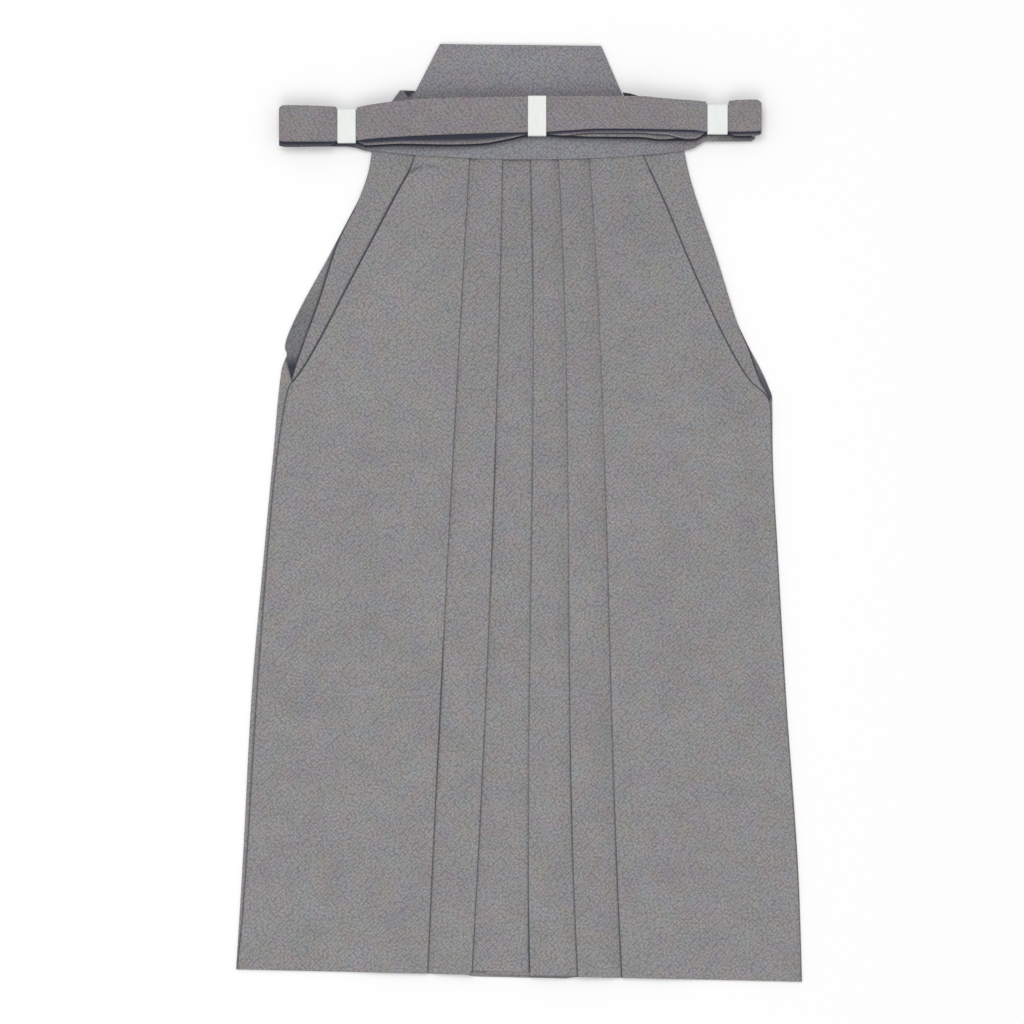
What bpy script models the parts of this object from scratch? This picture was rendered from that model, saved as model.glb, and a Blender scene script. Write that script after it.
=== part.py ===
"""Pleated hakama trousers lying flat on their back, with both pairs of ties folded across the waist.

Frame: +Y points to the waist, +X to the viewer's right and +Z up from the surface.
The underside rests on Z = 0 and the origin is the middle of the footprint.
Every sheet of cloth is one grid that follows its folded section, thickened to a closed wall.
"""
import math
from typing import Callable, NamedTuple

import bmesh
import bpy

# Driving dimensions, in metres
WAIST_TO_HEM = 0.848        # front length from the waist seam to the hem at the centre line
BOARD_TOP_RISE = 0.1206     # top of the back board above the waist seam
HALF_HEM = 0.2942           # half the width across the hem
CENTRE_X = 0.0114           # centre line of the pleats

CLOTH = 0.0010              # wall of a layer of cloth
TIE = 0.0012                # wall of a pressed and folded tie
GAP = 0.0003                # air between neighbouring pieces
PITCH = CLOTH + GAP         # rise from one layer of cloth to the next
TIE_PITCH = TIE + GAP       # rise from one run of the ties to the next
TIE_WIDTH = 0.0380
ARC_STEPS = 4               # flat facets round each half-turn fold

PLEAT_DEPTH_TOP = 0.0160    # hidden depth of a front pleat at the waist
PLEAT_DEPTH_HEM = 0.0300    # and at the hem
FOLD_CLEARANCE = 0.0015     # a slope starts this far outside a fold
SIDE_SLOPE = 0.0600         # width over which a wide panel comes down beside the pleats
SLOPE_SHARE = 0.9           # but never more than this share of the panel
FRONT_TOP = -0.0250         # the fronts reach this far up under the waistband

SEAM_SAG = 0.0092           # the waist seam rises by this much at SEAM_HALF from the centre line
SEAM_HALF = 0.1610
SEAM_FADE = 0.2500          # drop over which rows of the cloth lose the seam's curve
HEM_SKEW = 0.0220           # the hem runs down to the right by this slope
EDGE_TRIES = 6              # steps to and fro that settle where a row meets an edge

BACK_FOLD_TOP = 0.0250      # reach of the back pleats from the centre line at the waist
BACK_FOLD_HEM = 0.0450      # and at the hem
LEAF_OVERLAP = 0.0300       # width of a side leaf pleat hidden under the front panel
LEAF_TOP = -0.0100           # the leaf pleats reach this far up under the waistband
RAMP = 0.0500               # width over which upper cloth comes down beside a hidden stack
RAMP_CLEARANCE = 0.0080     # the ramp starts this far outside the stack
VENT_FADE = (0.0030, 0.0450)  # drop below the vent's end over which the front comes down

BOARD_THICKNESS = 0.0034
BOARD_BOTTOM_RISE = 0.0400
BACK_TOP = GAP - BOARD_BOTTOM_RISE  # the back panels end just below the board
BOARD_TOP_X = (-0.0822, 0.0853)
BOARD_BOTTOM_X = (-0.1238, 0.1196)
BOARD_ROUNDING = 0.0008

WAISTBAND = 0.0016          # wall of the front waistband
WAISTBAND_X = (-0.1530, 0.1710)
WAISTBAND_END_Z = 0.0028    # underside of the waistband at its two ends
WAISTBAND_END_RUN = 0.0240
WAISTBAND_CLEARANCE = 0.0005
WAISTBAND_STEPS = 30

MIDDLE_FIRST_Z = 0.0116     # middle of the lowest folded run over the waistband
OUTER_FIRST_Z = 0.0077      # and beyond the waist, where the runs hang lower
BUNDLE_DROOP = (0.1050, 0.1650)
OUTER_TIE_Z = 0.0049        # middle of the front ties below the folded runs
BACK_TIE_Z = 0.0019         # middle of the lower layer of a back tie
TIE_LIFT_RUN = 0.0120       # run over which a front tie climbs onto the back tie

BAND_WALL = 0.0010
BAND_CORNER = 0.0012
BAND_CORNER_STEPS = 3

LONGEST_HEM = WAIST_TO_HEM + HEM_SKEW * HALF_HEM
WAIST_Y = (LONGEST_HEM + BOARD_TOP_RISE) / 2 - BOARD_TOP_RISE


class Pleat(NamedTuple):
    """A pressed fold edge of the front: its place at the waist and hem, its bow and the way it faces."""
    at_waist: float
    at_hem: float
    bow: float
    faces: int


class EdgeRow(NamedTuple):
    """A place on an outline: its drop below the waist seam and its distance across."""
    drop: float
    across: float


class RunRow(NamedTuple):
    """Heights above the waist seam of the folded ties, at one place across."""
    across: float
    upper: float
    lower: float
    second_lower: float


class TieRow(NamedTuple):
    """Height above the waist seam of a front tie's lower edge, at one place across."""
    across: float
    lower: float


class Paper(NamedTuple):
    """A holding band: its name, the middle of its width and its half width."""
    name: str
    across: float
    half_width: float


PLEATS = (
    Pleat(at_waist=-0.0515, at_hem=-0.0954, bow=-0.0014, faces=1),
    Pleat(at_waist=-0.0172, at_hem=-0.0493, bow=0.0040, faces=1),
    Pleat(at_waist=0.0123, at_hem=0.0115, bow=0.0, faces=-1),
    Pleat(at_waist=0.0411, at_hem=0.0615, bow=-0.0007, faces=-1),
    Pleat(at_waist=0.0733, at_hem=0.1074, bow=0.0013, faces=-1),
)

# Outer edge of the right front: the vent's fold line down to the vent's end, then the side
FRONT_RIGHT_EDGE = (
    EdgeRow(-0.040, -0.0960),
    EdgeRow(-0.005, -0.1077),
    EdgeRow(0.009, -0.1124),
    EdgeRow(0.031, -0.1245),
    EdgeRow(0.119, -0.1712),
    EdgeRow(0.209, -0.2192),
    EdgeRow(0.223, -0.2285),
    EdgeRow(0.236, -0.2385),
    EdgeRow(0.250, -0.2422),
    EdgeRow(0.339, -0.2548),
    EdgeRow(0.547, -0.2716),
    EdgeRow(0.784, -0.2870),
    EdgeRow(0.860, -0.2950),
)
FRONT_LEFT_EDGE = (
    EdgeRow(-0.040, 0.1140),
    EdgeRow(-0.004, 0.1289),
    EdgeRow(0.010, 0.1352),
    EdgeRow(0.036, 0.1474),
    EdgeRow(0.119, 0.1826),
    EdgeRow(0.194, 0.2180),
    EdgeRow(0.230, 0.2402),
    EdgeRow(0.246, 0.2575),
    EdgeRow(0.256, 0.2612),
    EdgeRow(0.303, 0.2627),
    EdgeRow(0.409, 0.2681),
    EdgeRow(0.557, 0.2766),
    EdgeRow(0.757, 0.2902),
    EdgeRow(0.860, 0.2938),
)
# Outer edges of the back, seen beyond the leaf pleats and the sides
BACK_RIGHT_EDGE = (
    EdgeRow(-0.041, -0.1230),
    EdgeRow(0.095, -0.1951),
    EdgeRow(0.178, -0.2387),
    EdgeRow(0.196, -0.2418),
    EdgeRow(0.213, -0.2450),
    EdgeRow(0.303, -0.2553),
    EdgeRow(0.409, -0.2652),
    EdgeRow(0.557, -0.2781),
    EdgeRow(0.728, -0.2872),
    EdgeRow(0.860, -0.2953),
)
BACK_LEFT_EDGE = (
    EdgeRow(-0.041, 0.1188),
    EdgeRow(0.173, 0.2275),
    EdgeRow(0.197, 0.2402),
    EdgeRow(0.218, 0.2514),
    EdgeRow(0.235, 0.2590),
    EdgeRow(0.248, 0.2632),
    EdgeRow(0.303, 0.2637),
    EdgeRow(0.409, 0.2691),
    EdgeRow(0.557, 0.2776),
    EdgeRow(0.757, 0.2912),
    EdgeRow(0.860, 0.2944),
)
# Outer edges of the leaf pleats in the side vents
RIGHT_LEAF_EDGE = (
    EdgeRow(-0.022, -0.1512),
    EdgeRow(0.010, -0.1561),
    EdgeRow(0.043, -0.1674),
    EdgeRow(0.085, -0.1876),
    EdgeRow(0.148, -0.2080),
    EdgeRow(0.189, -0.2230),
    EdgeRow(0.223, -0.2345),
    EdgeRow(0.232, -0.2366),
)
LEFT_LEAF_EDGE = (
    EdgeRow(-0.022, 0.1690),
    EdgeRow(0.015, 0.1768),
    EdgeRow(0.035, 0.1826),
    EdgeRow(0.100, 0.2049),
    EdgeRow(0.173, 0.2288),
    EdgeRow(0.195, 0.2382),
    EdgeRow(0.220, 0.2475),
    EdgeRow(0.239, 0.2569),
    EdgeRow(0.250, 0.2606),
)

# The folded ties, seen from above: top run's two edges and the sagging lower edge of the next run
BUNDLE = (
    RunRow(-0.2491, 0.0568, 0.0200, 0.0156),
    RunRow(-0.2420, 0.0580, 0.0195, 0.0147),
    RunRow(-0.1960, 0.0564, 0.0194, 0.0150),
    RunRow(-0.1883, 0.0556, 0.0197, 0.0194),
    RunRow(-0.1695, 0.0553, 0.0200, 0.0197),
    RunRow(-0.1600, 0.0575, 0.0212, 0.0150),
    RunRow(-0.1238, 0.0624, 0.0238, 0.0160),
    RunRow(-0.0718, 0.0645, 0.0262, 0.0153),
    RunRow(-0.0406, 0.0652, 0.0271, 0.0162),
    RunRow(-0.0100, 0.0657, 0.0279, 0.0204),
    RunRow(0.0094, 0.0660, 0.0282, 0.0255),
    RunRow(0.0281, 0.0666, 0.0289, 0.0262),
    RunRow(0.0530, 0.0674, 0.0304, 0.0242),
    RunRow(0.0842, 0.0681, 0.0317, 0.0239),
    RunRow(0.1258, 0.0678, 0.0312, 0.0237),
    RunRow(0.1466, 0.0655, 0.0303, 0.0214),
    RunRow(0.1820, 0.0622, 0.0288, 0.0220),
    RunRow(0.1955, 0.0608, 0.0275, 0.0268),
    RunRow(0.2163, 0.0608, 0.0270, 0.0264),
    RunRow(0.2240, 0.0622, 0.0262, 0.0215),
    RunRow(0.2450, 0.0630, 0.0268, 0.0208),
    RunRow(0.2517, 0.0610, 0.0274, 0.0215),
)
# How far each folded run hangs from the top run's lower edge (0) towards the second run's (1)
RUN_SAG = {1: 0.6, 2: 0.8, 3: 0.5, 4: 0.75, 5: 1.0, 6: 0.0}
UPPER_FOLLOW = 0.6          # share of that sag which the run's upper edge follows

RIGHT_TIE = (
    TieRow(-0.1530, 0.0083),
    TieRow(-0.1602, 0.0094),
    TieRow(-0.1706, 0.0125),
    TieRow(-0.1810, 0.0137),
    TieRow(-0.2500, 0.0132),
)
LEFT_TIE = (
    TieRow(0.1710, 0.0092),
    TieRow(0.1799, 0.0114),
    TieRow(0.1851, 0.0140),
    TieRow(0.1934, 0.0190),
    TieRow(0.2500, 0.0191),
)
# Ends of the folded runs, where the ties turn back
RIGHT_TURN_LOW = -0.2435
RIGHT_TURN_HIGH = -0.2491
LEFT_TURN_INNER = 0.2360
LEFT_TURN_OUTER = 0.2454
LEFT_TURN_HIGH = 0.2517
RIGHT_TIE_END = 0.2320
# Back ties: their lower edges, which drop behind the front ties beside the board, and their ends
RIGHT_BACK_TIE = (
    TieRow(-0.1282, 0.0330),
    TieRow(-0.1310, 0.0290),
    TieRow(-0.1400, 0.0215),
    TieRow(-0.1540, 0.0178),
    TieRow(-0.1900, 0.0165),
    TieRow(-0.2400, 0.0160),
)
LEFT_BACK_TIE = (
    TieRow(0.1250, 0.0290),
    TieRow(0.1310, 0.0278),
    TieRow(0.1466, 0.0255),
    TieRow(0.1820, 0.0215),
    TieRow(0.2400, 0.0195),
)
BACK_TIE_INNER_RISE = {-1: RIGHT_BACK_TIE[0].lower, 1: LEFT_BACK_TIE[0].lower}
BACK_TIE_TURN = 0.2380
BACK_TIE_RETURN = {-1: 0.1660, 1: 0.1860}
BACK_TIE_OUT_PARTS = 12
BACK_TIE_HOME_PARTS = 3

STATION_SPACE = 0.0020      # least distance between two cross lines of a tie
DROOP_STATIONS = 4

PAPERS = (
    Paper(name="band_right", across=-0.1789, half_width=0.0094),
    Paper(name="band_middle", across=0.0187, half_width=0.0094),
    Paper(name="band_left", across=0.2059, half_width=0.0104),
)

FRONT_ROWS = (-0.025, 0.0, 0.015, 0.035, 0.075, 0.119, 0.165, 0.205, 0.224, 0.238, 0.252,
              0.300, 0.380, 0.480, 0.590, 0.710, 0.800, WAIST_TO_HEM)
BACK_ROWS = (BACK_TOP, 0.0, 0.060, 0.120, 0.178, 0.196, 0.214, 0.236, 0.252, 0.300, 0.400,
             0.520, 0.650, 0.760, WAIST_TO_HEM)
LEAF_ROWS = (0.0, 0.14, 0.28, 0.42, 0.56, 0.70, 0.84, 0.95, 1.0)


def lerp(a: float, b: float, share: float) -> float:
    """The value a share of the way from a to b."""
    return a + (b - a) * share


def smoothstep(start: float, end: float, value: float) -> float:
    """0 before start, 1 after end, with a soft rise between them."""
    share = min(max((value - start) / (end - start), 0.0), 1.0)
    return share * share * (3.0 - 2.0 * share)


def curve(rows: tuple, column: int) -> Callable[[float], float]:
    """A smooth curve through one column of a table whose first column runs steadily.

    Slopes are limited so that the curve never swings past its points.
    """
    ordered = sorted(rows)
    places = [row[0] for row in ordered]
    values = [row[column] for row in ordered]
    spans = [b - a for a, b in zip(places, places[1:])]
    slopes = [(b - a) / span for a, b, span in zip(values, values[1:], spans)]
    tangents = [slopes[0]]
    for before, after in zip(slopes, slopes[1:]):
        same_way = before * after > 0.0
        tangents.append(2.0 * before * after / (before + after) if same_way else 0.0)
    tangents.append(slopes[-1])

    def at(place: float) -> float:
        place = min(max(place, places[0]), places[-1])
        i = max(k for k in range(len(spans)) if places[k] <= place)
        t = (place - places[i]) / spans[i]
        rise = t * t * (3.0 - 2.0 * t)
        bend = t * (1.0 - t) * spans[i]
        lean = tangents[i] * (1.0 - t) - tangents[i + 1] * t
        return lerp(values[i], values[i + 1], rise) + bend * lean
    return at


FRONT_EDGE = {-1: curve(FRONT_RIGHT_EDGE, 1), 1: curve(FRONT_LEFT_EDGE, 1)}
BACK_EDGE = {-1: curve(BACK_RIGHT_EDGE, 1), 1: curve(BACK_LEFT_EDGE, 1)}
LEAF_EDGE = {-1: curve(RIGHT_LEAF_EDGE, 1), 1: curve(LEFT_LEAF_EDGE, 1)}
VENT_END = {-1: RIGHT_LEAF_EDGE[-1].drop, 1: LEFT_LEAF_EDGE[-1].drop}
RUN_UPPER = curve(BUNDLE, 1)
RUN_LOWER = curve(BUNDLE, 2)
RUN_SECOND = curve(BUNDLE, 3)
TIE_LOWER = {-1: curve(RIGHT_TIE, 1), 1: curve(LEFT_TIE, 1)}
BACK_TIE_LOWER = {-1: curve(RIGHT_BACK_TIE, 1), 1: curve(LEFT_BACK_TIE, 1)}



def tie_stations() -> list:
    """Places across at which every run of the ties has a cross line, none of them too close."""
    wanted = [row.across for row in BUNDLE]
    wanted += [WAISTBAND_X[0] - TIE_LIFT_RUN, WAISTBAND_X[1] + TIE_LIFT_RUN]
    wanted += [side * lerp(*BUNDLE_DROOP, k / DROOP_STATIONS)
               for side in (-1, 1) for k in range(DROOP_STATIONS + 1)]
    wanted += [row.across for row in (*RIGHT_TIE, *LEFT_TIE)]
    kept = []
    for x in wanted:
        if all(abs(x - other) > STATION_SPACE for other in kept):
            kept.append(x)
    return sorted(kept)


TIE_STATIONS = tie_stations()


def length_share(row: float) -> float:
    """How far down the cloth a row lies, from 0 at the waist seam to 1 at the hem."""
    return min(max(row / WAIST_TO_HEM, 0.0), 1.0)


def drop_at(row: float, x: float) -> float:
    """Real drop below the waist seam of a cross row.

    The rows follow the seam's curve near it, the board's straight edge above and the hem's skew below.
    """
    seam = -SEAM_SAG * ((x - CENTRE_X) / SEAM_HALF) ** 2
    near_seam = 1.0 - (smoothstep(0.0, SEAM_FADE, row) if row > 0.0 else row / BACK_TOP)
    return row + seam * near_seam + HEM_SKEW * x * length_share(row)


def across_on(edge: Callable[[float], float], row: float) -> float:
    """Where a cross row meets an edge curve, found by stepping to and fro a few times."""
    x = edge(row)
    for _ in range(EDGE_TRIES):
        x = edge(drop_at(row, x))
    return x


def pleat_x(pleat: Pleat, row: float) -> float:
    """Place across of a pleat's fold edge on a row."""
    share = length_share(row)
    return lerp(pleat.at_waist, pleat.at_hem, share) + 4.0 * pleat.bow * share * (1.0 - share)


def pleat_depth(row: float) -> float:
    """Hidden depth of a front pleat on a row."""
    return lerp(PLEAT_DEPTH_TOP, PLEAT_DEPTH_HEM, length_share(row))


def back_reach(row: float) -> float:
    """How far the back pleats reach from the centre line on a row."""
    return lerp(BACK_FOLD_TOP, BACK_FOLD_HEM, length_share(row))


def underlay(x: float, row: float) -> float:
    """Height of the hidden stack that the front lies on: the back's layers and the leaf pleats."""
    start = back_reach(row) + RAMP_CLEARANCE
    near_centre = 1.0 - smoothstep(start, start + RAMP, abs(x - CENTRE_X))
    side = -1 if x < CENTRE_X else 1
    inward = abs(across_on(FRONT_EDGE[side], row) - x)
    over_leaf = 1.0 - smoothstep(LEAF_OVERLAP + FOLD_CLEARANCE, LEAF_OVERLAP + RAMP, inward)
    above_vent_end = 1.0 - smoothstep(*VENT_FADE, row - VENT_END[side])
    return PITCH * (1.0 + 2.0 * near_centre + over_leaf * above_vent_end)


class Section:
    """A folded cross section of one sheet: a line of (x, level) places, one cloth layer to a level."""

    def __init__(self, x: float, level: float):
        """Start the line at a free edge or a seam."""
        self.places = [(x, level)]

    def run(self, x: float, level: float, parts: int) -> "Section":
        """Go on to a place in equal parts, easing softly from one level to the next."""
        start_x, start_level = self.places[-1]
        for k in range(1, parts + 1):
            share = k / parts
            eased = smoothstep(0.0, 1.0, share)
            self.places.append((lerp(start_x, x, share), lerp(start_level, level, eased)))
        return self

    def turn(self, x: float, level: float, faces: int, parts: int) -> "Section":
        """Run to a pressed fold edge at x and turn over it to another level.

        faces is +1 for an edge that looks to +X. The edge is the outer face of the wall.
        """
        before = self.places[-1][1]
        radius = abs(level - before) * PITCH / 2
        middle_x = x - faces * (radius + CLOTH / 2)
        self.run(middle_x, before, parts)
        for k in range(1, ARC_STEPS + 1):
            angle = math.pi * k / ARC_STEPS
            self.places.append((middle_x + faces * radius * math.sin(angle),
                                lerp(before, level, (1.0 - math.cos(angle)) / 2)))
        return self


def front_right_section(row: float) -> Section:
    """The right front on a row: wide side panel, two pleats facing the centre, then the hidden strip."""
    depth = pleat_depth(row)
    edge = across_on(FRONT_EDGE[-1], row)
    first, second, middle = (pleat_x(pleat, row) for pleat in PLEATS[:3])
    slope_end = first - depth - FOLD_CLEARANCE
    slope_start = slope_end - min(SIDE_SLOPE, SLOPE_SHARE * (slope_end - edge))
    section = Section(edge, 0.0)
    section.run(slope_start, 0.0, 4)
    section.run(slope_end, 2.0, 4)
    for fold, next_fold in ((first, second), (second, None)):
        section.turn(fold, 1.0, 1, 2)
        section.turn(fold - depth, 0.0, -1, 2)
        section.run(fold + FOLD_CLEARANCE, 0.0, 2)
        if next_fold is not None:
            section.run(next_fold - depth - FOLD_CLEARANCE, 2.0, 2)
    section.run(middle + depth - FOLD_CLEARANCE, 0.0, 3)
    return section


def front_left_section(row: float) -> Section:
    """The left front on a row: hidden centre seam, three pleats facing the other front, wide side panel."""
    depth = pleat_depth(row)
    edge = across_on(FRONT_EDGE[1], row)
    folds = [pleat_x(pleat, row) for pleat in PLEATS[2:]]
    section = Section(folds[0] + depth - FOLD_CLEARANCE, 1.0)
    for fold, next_fold in zip(folds, folds[1:]):
        section.turn(fold, 2.0, -1, 2)
        section.run(fold + depth + FOLD_CLEARANCE, 2.0, 2)
        section.run(next_fold - FOLD_CLEARANCE, 0.0, 2)
        section.turn(next_fold + depth, 1.0, 1, 2)
    section.turn(folds[-1], 2.0, -1, 2)
    slope_start = folds[-1] + depth + FOLD_CLEARANCE
    slope_end = slope_start + min(SIDE_SLOPE, SLOPE_SHARE * (edge - slope_start))
    section.run(slope_start, 2.0, 2)
    section.run(slope_end, 0.0, 4)
    section.run(edge, 0.0, 4)
    return section


def back_section(row: float, side: int) -> Section:
    """One back on a row: flat from its side edge to the centre line, then folded out and in again."""
    edge = across_on(BACK_EDGE[side], row)
    inner = CENTRE_X + side * GAP / 2
    section = Section(edge, 0.0)
    section.turn(inner, 1.0, -side, 2)
    section.turn(CENTRE_X + side * back_reach(row), 2.0, side, 1)
    section.run(inner, 2.0, 1)
    return section


def leaf_section(row: float, side: int) -> Section:
    """One leaf pleat on a row: from its outer edge to where it is hidden under the front."""
    outer = across_on(LEAF_EDGE[side], row)
    hidden = across_on(FRONT_EDGE[side], row) - side * LEAF_OVERLAP
    return Section(outer, 1.0).run(hidden, 1.0, 3)


def material(name: str, colour: tuple, roughness: float) -> bpy.types.Material:
    """A Principled material in one colour."""
    made = bpy.data.materials.new(name)
    made.use_nodes = True
    shader = made.node_tree.nodes["Principled BSDF"]
    shader.inputs["Base Color"].default_value = (*colour, 1.0)
    shader.inputs["Roughness"].default_value = roughness
    shader.inputs["Metallic"].default_value = 0.0
    return made


def add_object(name: str, bm: bmesh.types.BMesh, finish: bpy.types.Material) -> bpy.types.Object:
    """Put a mesh into the scene as one named object."""
    mesh = bpy.data.meshes.new(name)
    bm.to_mesh(mesh)
    bm.free()
    mesh.materials.append(finish)
    made = bpy.data.objects.new(name, mesh)
    bpy.context.scene.collection.objects.link(made)
    return made


def thicken(sheet: bpy.types.Object, wall: float) -> None:
    """Give a sheet its wall, half to each side of the modelled surface."""
    solid = sheet.modifiers.new("wall", "SOLIDIFY")
    solid.thickness = wall
    solid.offset = 0.0
    solid.use_even_offset = True
    solid.use_quality_normals = True


def sheet_from_rows(name: str, rows: list, wall: float, finish: bpy.types.Material) -> bpy.types.Object:
    """A sheet of cloth from rows of places, all with the same number of places.

    A flat grid is made first, and each of its corners is then moved to its place.
    """
    columns = len(rows[0]) - 1
    bm = bmesh.new()
    bmesh.ops.create_grid(bm, x_segments=columns, y_segments=len(rows) - 1, size=0.5)
    for vert in bm.verts:
        i = round((vert.co.x + 0.5) * columns)
        j = round((0.5 - vert.co.y) * (len(rows) - 1))
        vert.co = rows[j][i]
    made = add_object(name, bm, finish)
    thicken(made, wall)
    return made


def panel(name: str, section: Callable[[float], Section], rows: tuple,
          height: Callable[[float, float], float], finish: bpy.types.Material) -> bpy.types.Object:
    """A panel of the trousers, lofted through its folded section on each row."""
    lofted = []
    for row in rows:
        places = section(row).places
        lofted.append([(x, WAIST_Y - drop_at(row, x), height(x, row) + CLOTH / 2 + level * PITCH)
                       for x, level in places])
    return sheet_from_rows(name, lofted, CLOTH, finish)


def build_fronts(finish: bpy.types.Material) -> None:
    """Both pleated fronts."""
    panel("front_right_leg", front_right_section, FRONT_ROWS, underlay, finish)
    panel("front_left_leg", front_left_section, FRONT_ROWS, underlay, finish)


def build_backs(finish: bpy.types.Material) -> None:
    """Both backs, which lie on the surface."""
    for side, name in ((-1, "back_right_leg"), (1, "back_left_leg")):
        panel(name, lambda row, s=side: back_section(row, s), BACK_ROWS, lambda x, row: 0.0, finish)


def build_leaves(finish: bpy.types.Material) -> None:
    """The leaf pleats that fill the two side vents."""
    for side, name in ((-1, "leaf_pleat_right"), (1, "leaf_pleat_left")):
        rows = tuple(lerp(LEAF_TOP, VENT_END[side], share) for share in LEAF_ROWS)
        panel(name, lambda row, s=side: leaf_section(row, s), rows, lambda x, row: 0.0, finish)


def build_board(finish: bpy.types.Material) -> None:
    """The stiff back board: a low trapezoid that stands above the back panels."""
    bm = bmesh.new()
    bmesh.ops.create_cube(bm, size=1.0)
    for vert in bm.verts:
        at_top = vert.co.y > 0.0
        ends = BOARD_TOP_X if at_top else BOARD_BOTTOM_X
        rise = BOARD_TOP_RISE if at_top else BOARD_BOTTOM_RISE
        vert.co.x = ends[1] if vert.co.x > 0.0 else ends[0]
        vert.co.y = WAIST_Y + rise
        vert.co.z = BOARD_THICKNESS if vert.co.z > 0.0 else 0.0
    board = add_object("back_board", bm, finish)
    rounding = board.modifiers.new("rounding", "BEVEL")
    rounding.width = BOARD_ROUNDING
    rounding.segments = 2


def board_side(rise: float, side: int) -> float:
    """Place across of the board's slanted side, at a height above the waist seam."""
    end = 0 if side < 0 else 1
    share = (rise - BOARD_BOTTOM_RISE) / (BOARD_TOP_RISE - BOARD_BOTTOM_RISE)
    return lerp(BOARD_BOTTOM_X[end], BOARD_TOP_X[end], share)


def waistband_underside(x: float) -> float:
    """Height of the waistband's lower face: over the pleats in the middle, lower at its ends."""
    row = FRONT_TOP
    folds = [pleat_x(pleat, row) for pleat in PLEATS]
    depth = pleat_depth(row)
    edges = {side: across_on(FRONT_EDGE[side], row) for side in (-1, 1)}
    left_of = smoothstep(edges[-1], folds[0] - depth - FOLD_CLEARANCE, x)
    right_of = 1.0 - smoothstep(folds[-1] + depth + FOLD_CLEARANCE, edges[1], x)
    cloth_top = underlay(x, row) + CLOTH + 2.0 * PITCH * min(left_of, right_of)
    side = -1 if x < CENTRE_X else 1
    end = abs(WAISTBAND_X[0] if side < 0 else WAISTBAND_X[1])
    at_end = smoothstep(end - WAISTBAND_END_RUN, end, abs(x))
    return lerp(cloth_top + WAISTBAND_CLEARANCE, WAISTBAND_END_Z, at_end)


def build_waistband(finish: bpy.types.Material) -> None:
    """The front waistband, which covers the tops of the pleats."""
    lower, upper = [], []
    for k in range(WAISTBAND_STEPS + 1):
        x = lerp(*WAISTBAND_X, k / WAISTBAND_STEPS)
        z = waistband_underside(x) + WAISTBAND / 2
        seam_y = WAIST_Y - drop_at(0.0, x)
        lower.append((x, seam_y, z))
        upper.append((x, seam_y + TIE_WIDTH, z))
    sheet_from_rows("front_waistband", [upper, lower], WAISTBAND, finish)


def run_edges(level: int, x: float, side: int) -> tuple:
    """Lower and upper edge, above the waist seam, of one run of the front ties."""
    if level == 0:
        lower = TIE_LOWER[side](x)
        return lower, lower + TIE_WIDTH
    sag = RUN_SAG[level] * (RUN_LOWER(x) - RUN_SECOND(x))
    return RUN_LOWER(x) - sag, RUN_UPPER(x) - UPPER_FOLLOW * sag


def run_height(level: int, x: float) -> float:
    """Middle height of a run: the tie itself beyond the waist, the folded runs over everything."""
    if level == 0:
        end = WAISTBAND_X[0] if x < 0.0 else WAISTBAND_X[1]
        start_z = WAISTBAND_END_Z + WAISTBAND / 2
        return lerp(start_z, OUTER_TIE_Z, smoothstep(abs(end), abs(end) + TIE_LIFT_RUN, abs(x)))
    first = lerp(MIDDLE_FIRST_Z, OUTER_FIRST_Z, smoothstep(*BUNDLE_DROOP, abs(x)))
    return first + (level - 1) * TIE_PITCH


def tie_run(level: int, start: float, end: float, side: int) -> list:
    """Places along one run, as (x, z, lower, upper), at the stations that all the runs share."""
    low, high = min(start, end), max(start, end)
    inside = [x for x in TIE_STATIONS if low + STATION_SPACE < x < high - STATION_SPACE]
    if start > end:
        inside.reverse()
    return [(x, run_height(level, x), *run_edges(level, x, side)) for x in (start, *inside, end)]


def tie_turn(before: tuple, after: tuple, faces: int) -> list:
    """Places round a half-turn between the end of one run and the start of the next."""
    radius = (after[1] - before[1]) / 2
    places = []
    for k in range(1, ARC_STEPS):
        angle = math.pi * k / ARC_STEPS
        share = k / ARC_STEPS
        places.append((before[0] + faces * radius * math.sin(angle),
                       before[1] + radius * (1.0 - math.cos(angle)),
                       lerp(before[2], after[2], share), lerp(before[3], after[3], share)))
    return places


def turn_middle(tip: float, below: int, above: int) -> float:
    """Where a run ends so that its half-turn just reaches the tip."""
    radius = (run_height(above, tip) - run_height(below, tip)) / 2
    return tip - math.copysign(radius + TIE / 2, tip)


def add_tie(name: str, places: list, finish: bpy.types.Material, slant: float = 0.0) -> None:
    """A tie as one flat strap through its places; slant moves the upper corner of its first end."""
    upper = [(x, WAIST_Y + high, z) for x, z, low, high in places]
    lower = [(x, WAIST_Y + low, z) for x, z, low, high in places]
    upper[0] = (upper[0][0] + slant, *upper[0][1:])
    sheet_from_rows(name, [upper, lower], TIE, finish)


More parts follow.
